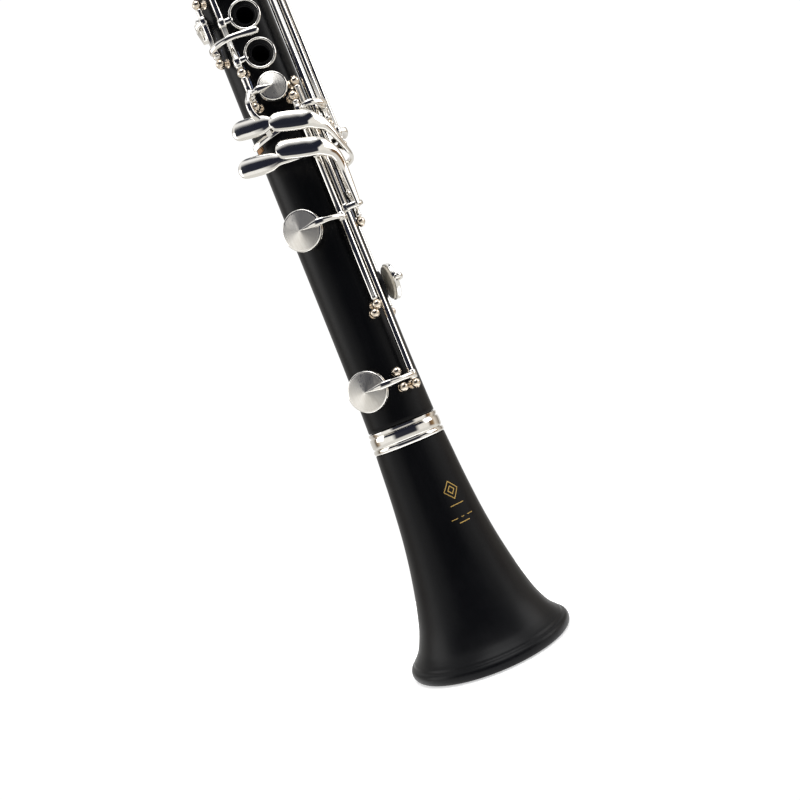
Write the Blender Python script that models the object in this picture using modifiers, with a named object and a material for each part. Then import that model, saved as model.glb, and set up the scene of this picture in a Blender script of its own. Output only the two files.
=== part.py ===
"""Clarinet in B flat, plain Boehm keywork, standing on its bell with the bore along +Z.

Metres. The finger holes face -Y. An angle is measured round the bore from that front line,
positive towards +X. Each key turns on a steel rod held by turned posts.
"""

import math

import bmesh
import bpy
import numpy as np
from mathutils import Matrix, Vector

# ---------------------------------------------------------------- driving dimensions
BELL_LENGTH = 0.1097
LOWER_LENGTH = 0.2373
UPPER_LENGTH = 0.1900
BARREL_LENGTH = 0.0650
BEAK_LENGTH = 0.0740

BELL_RIM_RADIUS = 0.0378
LOWER_FOOT_RADIUS = 0.0158
LOWER_RADIUS = 0.0152
LOWER_HEAD_RADIUS = 0.0148
UPPER_RADIUS = 0.0140
BARREL_END_RADIUS = 0.0152
BARREL_WAIST_RADIUS = 0.0162
MOUTHPIECE_RADIUS = 0.0130
BORE_RADIUS = 0.0074
BELL_THROAT_RADIUS = 0.0105

GAP = 0.0003
TENON_RADIUS = 0.0108
TENON_GROOVE_DEPTH = 0.0010
TENON_LENGTH = 0.0170
MIDDLE_TENON_LENGTH = 0.0140
SOCKET_CLEARANCE = 0.0008
CORK_SHOULDER = 0.0020
CORK_LENGTH = 0.0090
RING_THICKNESS = 0.0011

ROD_RADIUS = 0.00085
KEY_TUBE_RADIUS = 0.00145
ROD_CLEARANCE = 0.0003
HINGE_HEIGHT = 0.0034
POST_RADIUS = 0.00185
TUBE_END_GAP = 0.0004
ARM_RADIUS = 0.0011

CHIMNEY_HEIGHT = 0.0006
CHIMNEY_WALL = 0.0010
PAD_THICKNESS = 0.0026
PAD_PROUD = 0.0011
CUP_WALL = 0.0004
CUP_CONE = 0.0014
PAD_TRAVEL = 0.0023
FAR_PAD_TRAVEL = 0.0015
VENT_TRAVEL = 0.0010

FINGER_RING_INNER = 0.0058
FINGER_RING_OUTER = 0.0070
FINGER_RING_HEIGHT = 0.0010
FINGER_RING_THICKNESS = 0.0014
FINGER_CHIMNEY_RADIUS = 0.0048
FINGER_HOLE_RADIUS = 0.0038
FINGER_CHIMNEY_HEIGHT = 0.0024

TOUCH_THICKNESS = 0.0030

# ---------------------------------------------------------------- heights along the bore
LOWER_FOOT = BELL_LENGTH + GAP
LOWER_HEAD = BELL_LENGTH + LOWER_LENGTH
UPPER_FOOT = LOWER_HEAD + GAP
UPPER_HEAD = LOWER_HEAD + UPPER_LENGTH
BARREL_FOOT = UPPER_HEAD + GAP
BARREL_HEAD = UPPER_HEAD + BARREL_LENGTH
MOUTHPIECE_FOOT = BARREL_HEAD + GAP
TIP = BARREL_HEAD + BEAK_LENGTH
LOWER_HINGE = LOWER_RADIUS + HINGE_HEIGHT
UPPER_HINGE = UPPER_RADIUS + HINGE_HEIGHT

# ---------------------------------------------------------------- colours
BLACK_BODY = ("black_body", (0.012, 0.012, 0.014), 0.45, 0.0)
NICKEL = ("nickel_plate", (0.80, 0.78, 0.74), 0.15, 1.0)
STEEL = ("steel_rod", (0.62, 0.60, 0.56), 0.25, 1.0)
CORK = ("cork", (0.62, 0.42, 0.25), 0.9, 0.0)
PAD_SKIN = ("pad_skin", (0.85, 0.72, 0.48), 0.8, 0.0)
EBONITE = ("ebonite", (0.010, 0.010, 0.011), 0.2, 0.0)
CANE = ("cane", (0.86, 0.72, 0.42), 0.6, 0.0)


# ---------------------------------------------------------------- places round the bore
def outward(angle):
    turn = math.radians(angle)
    return Vector((math.sin(turn), -math.cos(turn), 0))


def sideways(angle):
    turn = math.radians(angle)
    return Vector((math.cos(turn), math.sin(turn), 0))


UP = Vector((0, 0, 1))


def place(angle, radius, z):
    return outward(angle) * radius + UP * z


DRAWN_ENDS = (0.0, 0.1097, 0.3470, 0.5370)


def stretched(z):
    """Where a key's height, given for joints that end at DRAWN_ENDS, lies on joints of these lengths."""
    return float(np.interp(z, DRAWN_ENDS, (0.0, BELL_LENGTH, LOWER_HEAD, UPPER_HEAD)))


def facing(angle, radius, z, tilt=0.0):
    """Local axes on the surface: X sideways, Y up the bore and Z outward, turned by tilt about Z."""
    axes = Matrix((sideways(angle), UP, outward(angle))).transposed().to_4x4()
    return Matrix.Translation(place(angle, radius, z)) @ axes @ Matrix.Rotation(math.radians(tilt), 4, "Z")


def lower_radius(z):
    """Outer radius of the lower joint: widest at its foot, then a slow taper to the head."""
    flare = 0.045
    share = max(0.0, 1 - (z - LOWER_FOOT) / flare)
    taper = (z - LOWER_FOOT) / LOWER_LENGTH
    straight = LOWER_RADIUS + (LOWER_HEAD_RADIUS - LOWER_RADIUS) * max(0.0, taper - 0.4) / 0.6
    return straight + (LOWER_FOOT_RADIUS - LOWER_RADIUS) * share * share


def upper_radius(z):
    return UPPER_RADIUS


# ---------------------------------------------------------------- scene and materials
def clear_scene():
    for obj in list(bpy.data.objects):
        bpy.data.objects.remove(obj, do_unlink=True)


def new_collection(name, hidden=False):
    group = bpy.data.collections.new(name)
    bpy.context.scene.collection.children.link(group)
    group.hide_render = hidden
    return group


def material(finish):
    name, colour, roughness, metallic = finish
    found = bpy.data.materials.get(name)
    if found:
        return found
    made = bpy.data.materials.new(name)
    made.use_nodes = True
    shader = made.node_tree.nodes["Principled BSDF"]
    shader.inputs["Base Color"].default_value = (*colour, 1)
    shader.inputs["Roughness"].default_value = roughness
    shader.inputs["Metallic"].default_value = metallic
    return made


clear_scene()
CLARINET = new_collection("clarinet")
WORKSHOP = new_collection("workshop", hidden=True)


# ---------------------------------------------------------------- shapes
def in_workshop(data, name="piece", at=None):
    obj = bpy.data.objects.new(name, data)
    WORKSHOP.objects.link(obj)
    obj.matrix_world = at or Matrix.Identity(4)
    return obj


def real_mesh(obj):
    """The object's shape as a plain mesh in world space. The object is removed."""
    bpy.context.view_layer.update()
    evaluated = obj.evaluated_get(bpy.context.evaluated_depsgraph_get())
    mesh = bpy.data.meshes.new_from_object(evaluated)
    mesh.transform(obj.matrix_world)
    bpy.data.objects.remove(obj, do_unlink=True)
    weld = bmesh.new()
    weld.from_mesh(mesh)
    bmesh.ops.remove_doubles(weld, verts=weld.verts, dist=1e-6)
    weld.to_mesh(mesh)
    weld.free()
    return in_workshop(mesh)


def along(start, end):
    """Local axes with Z from start to end."""
    turn = (end - start).to_track_quat("Z", "Y").to_matrix().to_4x4()
    return Matrix.Translation(start) @ turn


def rod(start, end, radius, sides=6):
    shape = bmesh.new()
    length = (end - start).length
    bmesh.ops.create_cone(shape, cap_ends=True, segments=sides, radius1=radius, radius2=radius, depth=length)
    bmesh.ops.translate(shape, verts=shape.verts, vec=(0, 0, length / 2))
    mesh = bpy.data.meshes.new("rod")
    shape.to_mesh(mesh)
    shape.free()
    return real_mesh(in_workshop(mesh, at=along(start, end)))


def box(low, high):
    shape = bmesh.new()
    bmesh.ops.create_cube(shape, size=1)
    size = Vector(high) - Vector(low)
    bmesh.ops.scale(shape, verts=shape.verts, vec=size)
    bmesh.ops.translate(shape, verts=shape.verts, vec=(Vector(high) + Vector(low)) / 2)
    mesh = bpy.data.meshes.new("box")
    shape.to_mesh(mesh)
    shape.free()
    return in_workshop(mesh)


def turned(profile, steps, at=None, closed=False):
    """A turned shape from (radius, height) points that run down its outer side."""
    mesh = bpy.data.meshes.new("turned")
    edges = [(i, i + 1) for i in range(len(profile) - 1)]
    if closed:
        edges.append((len(profile) - 1, 0))
    mesh.from_pydata([(radius, 0, height) for radius, height in profile], edges, [])
    obj = in_workshop(mesh, at=at)
    screw = obj.modifiers.new("turn", "SCREW")
    screw.steps = screw.render_steps = steps
    screw.use_merge_vertices = True
    screw.merge_threshold = 1e-5
    return real_mesh(obj)


def bar(points, radius=ARM_RADIUS, roundness=0):
    """A round bar through the points."""
    curve = bpy.data.curves.new("bar", "CURVE")
    curve.dimensions = "3D"
    curve.bevel_depth = radius
    curve.bevel_resolution = roundness
    curve.use_fill_caps = True
    spline = curve.splines.new("POLY")
    spline.points.add(len(points) - 1)
    for knot, point in zip(spline.points, points):
        knot.co = (*point, 1)
    return real_mesh(in_workshop(curve))


def arc_bar(start, end, radius=ARM_RADIUS, steps=4):
    """A bar that follows the body from one (angle, radius, z) to another."""
    first, last = Vector(start), Vector(end)
    spots = [first.lerp(last, i / steps) for i in range(steps + 1)]
    return bar([place(angle, distance, stretched(z)) for angle, distance, z in spots], radius)


def paddle(at, length, width, thickness=TOUCH_THICKNESS):
    """A flat finger plate with round ends, long along its local X."""
    turns = 3
    end = (length - width) / 2
    outline = []
    for side in (1, -1):
        for i in range(turns + 1):
            turn = math.pi * (i / turns - 0.5)
            outline.append((side * (end + math.cos(turn) * width / 2), side * math.sin(turn) * width / 2))
    curve = bpy.data.curves.new("paddle", "CURVE")
    curve.dimensions = "2D"
    curve.fill_mode = "BOTH"
    curve.extrude = thickness / 2
    spline = curve.splines.new("POLY")
    spline.points.add(len(outline) - 1)
    for knot, (x, y) in zip(spline.points, outline):
        knot.co = (x, y, 0, 1)
    spline.use_cyclic_u = True
    return real_mesh(in_workshop(curve, at=at))


def side_plate(points, half_width):
    """A plate with the outline (y, z), cut from sheet that is 2 x half_width thick along X."""
    curve = bpy.data.curves.new("side_plate", "CURVE")
    curve.dimensions = "2D"
    curve.fill_mode = "BOTH"
    curve.extrude = half_width
    spline = curve.splines.new("POLY")
    spline.points.add(len(points) - 1)
    for knot, (y, z) in zip(spline.points, points):
        knot.co = (y, z, 0, 1)
    spline.use_cyclic_u = True
    upright = Matrix(((0, 0, 1, 0), (1, 0, 0, 0), (0, 1, 0, 0), (0, 0, 0, 1)))
    return real_mesh(in_workshop(curve, at=upright))


def boolean(base, others, operation):
    group = bpy.data.collections.new("tools")
    WORKSHOP.children.link(group)
    for other in others:
        WORKSHOP.objects.unlink(other)
        group.objects.link(other)
    cut = base.modifiers.new(operation, "BOOLEAN")
    cut.operation = operation
    cut.operand_type = "COLLECTION"
    cut.collection = group
    made = real_mesh(base)
    for other in others:
        bpy.data.objects.remove(other, do_unlink=True)
    bpy.data.collections.remove(group)
    return made


def node(name, finish, solids, cuts=(), hinge=None, opened=0.0):
    """One finished piece: its shapes joined, then cut. A hinged one is turned to its rest angle."""
    made = solids[0]
    if len(solids) > 1:
        made = boolean(made, solids[1:], "UNION")
    if cuts:
        made = boolean(made, list(cuts), "DIFFERENCE")
    WORKSHOP.objects.unlink(made)
    CLARINET.objects.link(made)
    made.name = made.data.name = name
    made.data.materials.clear()
    made.data.materials.append(material(finish))
    made.data.shade_smooth()
    made.data.set_sharp_from_angle(angle=math.radians(35))
    if hinge is not None:
        made.data.transform(swung(hinge, opened))
        made.data.transform(Matrix.Translation(-hinge.point()))
        made.location = hinge.point()
    return made


# ---------------------------------------------------------------- hinges
class Hinge:
    """A hinge line along the bore: its angle, its radius, and the posts at each end of the key tube."""

    def __init__(self, angle, radius, low, high):
        self.angle = angle
        self.radius = radius
        self.low = stretched(low)
        self.high = stretched(high)

    def point(self):
        return place(self.angle, self.radius, (self.low + self.high) / 2)

    def axis(self):
        return UP

    def tube(self):
        clear = POST_RADIUS + TUBE_END_GAP
        start = place(self.angle, self.radius, self.low + clear)
        end = place(self.angle, self.radius, self.high - clear)
        return rod(start, end, KEY_TUBE_RADIUS, 8)

    def bore(self):
        start = place(self.angle, self.radius, self.low)
        end = place(self.angle, self.radius, self.high)
        return rod(start, end, ROD_RADIUS + ROD_CLEARANCE)

    def swing(self, angle, travel):
        """The turn, in degrees, that moves a pad at this angle out by the travel."""
        reach = self.radius * math.sin(math.radians(self.angle - angle))
        return math.degrees(travel / reach)


class CrossHinge:
    """A hinge across the bore, held by a post on each side."""

    def __init__(self, angle, radius, z, half_width):
        self.angle = angle
        self.radius = radius
        self.z = stretched(z)
        self.half_width = half_width

    def point(self):
        return place(self.angle, self.radius, self.z)

    def axis(self):
        return sideways(self.angle)

    def span(self, half):
        return self.point() - self.axis() * half, self.point() + self.axis() * half

    def tube(self):
        return rod(*self.span(self.half_width - POST_RADIUS - TUBE_END_GAP), KEY_TUBE_RADIUS, 8)

    def bore(self):
        return rod(*self.span(self.half_width), ROD_RADIUS + ROD_CLEARANCE)


def post_shape(hinge_radius, foot_radius, at):
    """A turned post: a ball that holds the rod, a waisted stem and a flange on the body."""
    foot = foot_radius + GAP
    ball = [
        (POST_RADIUS * math.sin(turn), hinge_radius + POST_RADIUS * math.cos(turn))
        for turn in (0, math.radians(50), math.radians(95), math.radians(140))
    ]
    flange = (POST_RADIUS * 0.55, foot + 0.0008), (POST_RADIUS, foot + 0.0006), (POST_RADIUS, foot), (0, foot)
    return turned([*ball, *flange], 6, at=at)


def post(angle, z, hinge_radius, body_radius):
    return post_shape(hinge_radius, body_radius(z), facing(angle, 0, z))


def posts_and_rod(name, hinge, body_radius, extra=()):
    """The steel rod of one hinge line with the posts that hold it."""
    heights = (hinge.low, *extra, hinge.high)
    ends = [place(hinge.angle, hinge.radius, z) for z in (hinge.low, hinge.high)]
    solids = [rod(*ends, ROD_RADIUS)]
    solids += [post(hinge.angle, z, hinge.radius, body_radius) for z in heights]
    node(name, STEEL, solids)


def cross_posts_and_rod(name, hinge, body_radius):
    solids = [rod(*hinge.span(hinge.half_width), ROD_RADIUS)]
    inner_edge = hinge.half_width - POST_RADIUS
    foot = math.sqrt(body_radius(hinge.z) ** 2 - inner_edge**2)
    for side in (-1, 1):
        at = Matrix.Translation(hinge.axis() * side * hinge.half_width) @ facing(hinge.angle, 0, hinge.z)
        solids.append(post_shape(hinge.radius, foot, at))
    node(name, STEEL, solids)


# ---------------------------------------------------------------- tone holes, cups and pads
class Hole:
    """A padded tone hole, and the cup and pad that shut it, all drawn shut."""

    def __init__(self, angle, z, cup_radius, body_radius):
        self.angle = angle
        self.z = stretched(z)
        self.cup_radius = cup_radius
        self.hole_radius = cup_radius * 0.62
        self.seat = body_radius(self.z) + CHIMNEY_HEIGHT
        self.pad_foot = self.seat + GAP
        self.cup_foot = self.pad_foot + PAD_PROUD
        self.cup_top = self.pad_foot + PAD_THICKNESS + GAP + CUP_WALL
        self.apex = self.cup_top + CUP_CONE

    def chimney(self):
        start = place(self.angle, BORE_RADIUS + 0.002, self.z)
        end = place(self.angle, self.seat, self.z)
        return rod(start, end, self.hole_radius + CHIMNEY_WALL, 9)

    def drill(self):
        start = place(self.angle, 0.002, self.z)
        end = place(self.angle, self.seat + 0.004, self.z)
        return rod(start, end, self.hole_radius, 8)

    def cup(self):
        profile = (
            (0, self.apex),
            (self.cup_radius, self.cup_top),
            (self.cup_radius, self.cup_foot),
            (0, self.cup_foot),
        )
        return turned(profile, 12, at=facing(self.angle, 0, self.z))

    def pad_recess(self):
        start = place(self.angle, self.cup_foot - 0.001, self.z)
        end = place(self.angle, self.cup_top - CUP_WALL, self.z)
        return rod(start, end, self.cup_radius - 2 * CUP_WALL, 12)

    def pad(self, name, hinge, opened):
        radius = self.cup_radius - 2 * CUP_WALL - GAP
        edge = 0.0005
        profile = (
            (0, self.pad_foot + PAD_THICKNESS),
            (radius, self.pad_foot + PAD_THICKNESS),
            (radius, self.pad_foot + edge),
            (radius - edge, self.pad_foot),
            (0, self.pad_foot),
        )
        node(name, PAD_SKIN, [turned(profile, 12, at=facing(self.angle, 0, self.z))], (), hinge, opened)


class FingerHole:
    """An open finger hole with its raised chimney, and the ring round it where it has one."""

    def __init__(self, angle, z, body_radius):
        self.angle = angle
        self.z = stretched(z)
        self.surface = body_radius(self.z)

    def chimney(self):
        end = place(self.angle, self.surface + FINGER_CHIMNEY_HEIGHT, self.z)
        return rod(place(self.angle, BORE_RADIUS + 0.002, self.z), end, FINGER_CHIMNEY_RADIUS, 9)

    def drill(self):
        return rod(place(self.angle, 0.002, self.z), place(self.angle, 0.022, self.z), FINGER_HOLE_RADIUS, 8)

    def ring(self):
        foot = self.surface + FINGER_RING_HEIGHT
        top = foot + FINGER_RING_THICKNESS
        profile = (
            (FINGER_RING_OUTER, top),
            (FINGER_RING_OUTER, foot),
            (FINGER_RING_INNER, foot),
            (FINGER_RING_INNER, top),
        )
        return turned(profile, 12, at=facing(self.angle, 0, self.z), closed=True)

    def ring_arm(self, hinge):
        """From the tube to the middle of the ring's rim."""
        rim = (FINGER_RING_INNER + FINGER_RING_OUTER) / 2
        height = self.surface + FINGER_RING_HEIGHT + FINGER_RING_THICKNESS * 0.6
        side = 1 if hinge.angle > self.angle else -1
        turn = math.degrees(math.atan2(rim, height)) * side
        start = place(hinge.angle, hinge.radius, self.z)
        return bar([start, place(self.angle + turn, math.hypot(rim, height), self.z)], ARM_RADIUS * 0.8)


# ---------------------------------------------------------------- keys
def swung(hinge, degrees):
    """The turn of a key about its hinge."""
    centre = Matrix.Translation(hinge.point())
    return centre @ Matrix.Rotation(math.radians(degrees), 4, hinge.axis()) @ centre.inverted()


def key(name, hinge, solids, holes=(), opened=0.0, resting=()):
    """One key. Its tube, arms and cups are drawn shut, then opened. Solids in resting are drawn open."""
    for solid in resting:
        solid.data.transform(swung(hinge, -opened))
    solids = [hinge.tube(), *solids, *resting, *[hole.cup() for hole in holes]]
    cuts = [hinge.bore(), *[hole.pad_recess() for hole in holes]]
    node(name, NICKEL, solids, cuts, hinge, opened)


def path(points, radius=ARM_RADIUS):
    """A bar through (angle, radius, z) points."""
    return bar([place(angle, distance, stretched(z)) for angle, distance, z in points], radius)


def cup_arm(hinge, hole, over=None):
    """From the tube to the point of the cup, over any tubes between when a radius is given."""
    tip = (hole.angle, hole.apex - CUP_CONE * 0.35, hole.z)
    start = (hinge.angle, hinge.radius + KEY_TUBE_RADIUS * 0.4, hole.z)
    span = hole.angle - hinge.angle
    if over is None:
        steps = 4
        spots = [tuple(a + (b - a) * i / steps for a, b in zip(start, tip)) for i in range(steps + 1)]
        return path(spots)
    count = max(2, round(abs(span) / 14))
    middle = [(hinge.angle + span * (0.12 + 0.68 * i / count), over, hole.z) for i in range(count + 1)]
    return path([start, *middle, tip])


# ---------------------------------------------------------------- bodies
TENON_GROOVE_RADIUS = TENON_RADIUS - TENON_GROOVE_DEPTH
SOCKET_RADIUS = TENON_RADIUS + SOCKET_CLEARANCE
CORK_RADIUS = SOCKET_RADIUS - GAP
BODY_STEPS = 20


def tenon_down(foot, length):
    """The outer side of a tenon below the shoulder at foot, with the groove for its cork."""
    high = foot - CORK_SHOULDER
    low = high - CORK_LENGTH
    return [
        (TENON_RADIUS, foot),
        (TENON_RADIUS, high),
        (TENON_GROOVE_RADIUS, high),
        (TENON_GROOVE_RADIUS, low),
        (TENON_RADIUS, low),
        (TENON_RADIUS, foot - length),
    ]


def tenon_up(head, length):
    """The same for a tenon that stands above the shoulder at head, listed from its top down."""
    low = head + CORK_SHOULDER
    high = low + CORK_LENGTH
    return [
        (TENON_RADIUS, head + length),
        (TENON_RADIUS, high),
        (TENON_GROOVE_RADIUS, high),
        (TENON_GROOVE_RADIUS, low),
        (TENON_RADIUS, low),
        (TENON_RADIUS, head),
    ]


def cork(name, low):
    high = low + CORK_LENGTH - GAP
    inner = TENON_GROOVE_RADIUS + GAP
    profile = ((CORK_RADIUS, high), (CORK_RADIUS, low + GAP), (inner, low + GAP), (inner, high))
    node(name, CORK, [turned(profile, BODY_STEPS, closed=True)])


def ring(name, profile):
    node(name, NICKEL, [turned(profile, BODY_STEPS, closed=True)])


def plain_ring(name, body_radius, low, high):
    """A metal band let into the end of a body, standing slightly proud."""
    inner = body_radius - RING_THICKNESS + GAP
    outer = body_radius + 0.0003
    bevel = 0.0004
    profile = (
        (outer - bevel, high),
        (outer, high - bevel),
        (outer, low + bevel),
        (outer - bevel, low),
        (inner, low),
        (inner, high),
    )
    ring(name, profile)


BELL_OUTER = (
    (0.0175, 0.083),
    (0.0188, 0.068),
    (0.0208, 0.052),
    (0.0230, 0.038),
    (0.0250, 0.029),
    (0.0274, 0.020),
    (0.0306, 0.012),
    (0.0332, 0.008),
    (0.0362, 0.0055),
    (0.0373, 0.0045),
    (0.0378, 0.0025),
    (0.0372, 0.0005),
    (0.0364, 0.0),
)
BELL_INNER = (
    (0.0345, 0.0),
    (0.0316, 0.0030),
    (0.0272, 0.009),
    (0.0232, 0.018),
    (0.0196, 0.030),
    (0.0162, 0.050),
    (0.0134, 0.072),
)
BELL_RING_LOW = BELL_LENGTH - 0.0098
BELL_STEP_RADIUS = 0.0150


def scaled_bell(points):
    """The bell's outline for the rim radius and the length in use."""
    wide = BELL_RIM_RADIUS / 0.0378
    tall = BELL_LENGTH / 0.1097
    return [(radius * wide, height * tall) for radius, height in points]


def build_bell():
    socket_foot = BELL_LENGTH - TENON_LENGTH - GAP
    profile = [
        (BELL_STEP_RADIUS, BELL_LENGTH),
        (BELL_STEP_RADIUS, BELL_RING_LOW - GAP),
        (0.0165, BELL_RING_LOW - GAP),
        *scaled_bell(BELL_OUTER),
        *scaled_bell(BELL_INNER),
        (BELL_THROAT_RADIUS, socket_foot),
        (SOCKET_RADIUS, socket_foot),
        (SOCKET_RADIUS, BELL_LENGTH),
    ]
    node("bell", BLACK_BODY, [turned(profile, 28, closed=True)])
    high, low = BELL_LENGTH, BELL_RING_LOW
    inner = BELL_STEP_RADIUS + GAP
    ring(
        "bell_ring",
        (
            (0.0158, high),
            (0.0163, high - 0.0004),
            (0.0163, high - 0.0016),
            (0.0159, high - 0.0020),
            (0.0165, high - 0.0024),
            (0.0167, high - 0.0044),
            (0.0166, low + 0.0030),
            (0.0161, low + 0.0025),
            (0.0168, low + 0.0020),
            (0.0168, low + 0.0004),
            (0.0164, low),
            (inner, low),
            (inner, high),
        ),
    )


LOWER_HOLES = {
    "e": Hole(-39, 0.128, 0.0092, lower_radius),
    "f": Hole(-39, 0.203, 0.0092, lower_radius),
    "f_sharp": Hole(85, 0.171, 0.0085, lower_radius),
    "g_sharp": Hole(-2, 0.266, 0.0065, lower_radius),
    "cross_f_sharp": Hole(-92, 0.306, 0.0055, lower_radius),
    "ring_vent": Hole(-8, 0.3275, 0.0042, lower_radius),
}
LOWER_FINGERS = [FingerHole(0, z, lower_radius) for z in (0.2815, 0.2995, 0.3165)]


def build_lower_joint():
    head_step = LOWER_HEAD_RADIUS - RING_THICKNESS
    ring_height = 0.0040
    socket_foot = LOWER_HEAD - MIDDLE_TENON_LENGTH - GAP
    heights = [LOWER_FOOT + share * LOWER_LENGTH for share in (0.88, 0.7, 0.4, 0.2, 0.12, 0.05, 0.0)]
    profile = [
        (head_step, LOWER_HEAD),
        (head_step, LOWER_HEAD - ring_height - GAP),
        (LOWER_HEAD_RADIUS, LOWER_HEAD - ring_height - GAP),
        *[(lower_radius(z), z) for z in heights],
        *tenon_down(LOWER_FOOT, TENON_LENGTH),
        (BORE_RADIUS, LOWER_FOOT - TENON_LENGTH),
        (BORE_RADIUS, socket_foot),
        (SOCKET_RADIUS, socket_foot),
        (SOCKET_RADIUS, LOWER_HEAD),
    ]
    holes = [*LOWER_HOLES.values(), *LOWER_FINGERS]
    solids = [turned(profile, BODY_STEPS, closed=True), *[hole.chimney() for hole in holes]]
    node("lower_joint", BLACK_BODY, solids, [hole.drill() for hole in holes])
    plain_ring("lower_joint_ring", LOWER_HEAD_RADIUS, LOWER_HEAD - ring_height, LOWER_HEAD)
    cork("bell_tenon_cork", LOWER_FOOT - CORK_SHOULDER - CORK_LENGTH)


UPPER_HOLES = {
    "c_sharp": Hole(88, 0.410, 0.0050, upper_radius),
    "sliver": Hole(75, 0.436, 0.0042, upper_radius),
    "ring_vent": Hole(-8, 0.441, 0.0042, upper_radius),
    "side_1": Hole(-140, 0.452, 0.0046, upper_radius),
    "side_2": Hole(-140, 0.471, 0.0046, upper_radius),
    "side_3": Hole(-62, 0.5035, 0.0042, upper_radius),
    "side_4": Hole(-80, 0.5215, 0.0042, upper_radius),
    "throat_g_sharp": Hole(38, 0.5225, 0.0040, upper_radius),
    "throat_a": Hole(0, 0.5285, 0.0040, upper_radius),
    "thumb_vent": Hole(142, 0.5005, 0.0040, upper_radius),
    "register": Hole(180, 0.5285, 0.0036, upper_radius),
}
UPPER_FINGERS = [FingerHole(0, z, upper_radius) for z in (0.428, 0.456, 0.478)]
THUMB_HOLE = FingerHole(180, 0.488, upper_radius)


def build_upper_joint():
    profile = [
        *tenon_up(UPPER_HEAD, TENON_LENGTH),
        (UPPER_RADIUS, UPPER_HEAD),
        (UPPER_RADIUS, (UPPER_HEAD + UPPER_FOOT) / 2),
        (UPPER_RADIUS, UPPER_FOOT),
        *tenon_down(UPPER_FOOT, MIDDLE_TENON_LENGTH),
        (BORE_RADIUS, UPPER_FOOT - MIDDLE_TENON_LENGTH),
        (BORE_RADIUS, UPPER_HEAD + TENON_LENGTH),
    ]
    holes = [*UPPER_HOLES.values(), *UPPER_FINGERS, THUMB_HOLE]
    solids = [turned(profile, BODY_STEPS, closed=True), *[hole.chimney() for hole in holes]]
    node("upper_joint", BLACK_BODY, solids, [hole.drill() for hole in holes])
    cork("middle_tenon_cork", UPPER_FOOT - CORK_SHOULDER - CORK_LENGTH)
    cork("barrel_tenon_cork", UPPER_HEAD + CORK_SHOULDER)


def build_barrel():
    low, high = BARREL_FOOT, BARREL_HEAD
    ring_height = 0.0045
    step = BARREL_END_RADIUS - RING_THICKNESS
    depth = TENON_LENGTH + GAP
    profile = [
        (step, high),
        (step, high - ring_height - GAP),
        (BARREL_END_RADIUS, high - ring_height - GAP),
        (BARREL_WAIST_RADIUS, high - 0.020),
        (BARREL_WAIST_RADIUS, low + 0.020),
        (BARREL_END_RADIUS, low + ring_height + GAP),
        (step, low + ring_height + GAP),
        (step, low),
        (SOCKET_RADIUS, low),
        (SOCKET_RADIUS, low + depth),
        (BORE_RADIUS, low + depth),
        (BORE_RADIUS, high - depth),
        (SOCKET_RADIUS, high - depth),
        (SOCKET_RADIUS, high),
    ]
    node("barrel", BLACK_BODY, [turned(profile, BODY_STEPS, closed=True)])
    plain_ring("barrel_lower_ring", BARREL_END_RADIUS, low, low + ring_height)
    plain_ring("barrel_upper_ring", BARREL_END_RADIUS, high - ring_height, high)


# ---------------------------------------------------------------- mouthpiece, reed and ligature
TABLE = 0.0082
TABLE_FOOT = MOUTHPIECE_FOOT + 0.0045
BEAK_FOOT = TIP - 0.0360
REED_THICKNESS = 0.0027
LIGATURE_INNER = 0.0133
LIGATURE_LOW = MOUTHPIECE_FOOT + 0.0140
LIGATURE_HIGH = LIGATURE_LOW + 0.0260
SCREW_HEIGHTS = (LIGATURE_LOW + 0.0060, LIGATURE_HIGH - 0.0060)
SCREW_Y = 0.0166


def build_mouthpiece():
    low = MOUTHPIECE_FOOT
    profile = [
        (0, TIP),
        (0.0106, TIP),
        (0.0123, BEAK_FOOT),
        (0.0129, low + 0.012),
        (MOUTHPIECE_RADIUS, low + 0.002),
        (MOUTHPIECE_RADIUS - 0.0006, low),
        *tenon_down(low, TENON_LENGTH),
        (BORE_RADIUS, low - TENON_LENGTH),
        (BORE_RADIUS - 0.0012, BEAK_FOOT + 0.002),
        (0, BEAK_FOOT + 0.003),
    ]
    beak = side_plate(((-0.0200, BEAK_FOOT), (-0.0130, BEAK_FOOT), (0.0070, TIP), (0.0070, TIP + 0.01),
                       (-0.0200, TIP + 0.01)), 0.020)
    table = box((-0.02, TABLE, TABLE_FOOT), (0.02, 0.02, TIP + 0.01))
    window = side_plate(((0.0095, BEAK_FOOT - 0.001), (0.0095, TIP - 0.0012), (0.0077, TIP - 0.0012),
                         (-0.0034, TIP - 0.0212), (-0.0034, BEAK_FOOT - 0.001)), 0.0048)
    node("mouthpiece", EBONITE, [turned(profile, BODY_STEPS)], [beak, table, window])
    cork("mouthpiece_cork", low - CORK_SHOULDER - CORK_LENGTH)
    face = TABLE + GAP
    back = face + REED_THICKNESS
    foot = TABLE_FOOT + 0.001
    reed = side_plate(((face, foot), (face, TIP - 0.0004), (face + 0.0003, TIP - 0.0004),
                       (back, TIP - 0.0330), (back, foot + 0.001), (back - 0.0010, foot)), 0.0063)
    node("reed", CANE, [reed])


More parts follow.
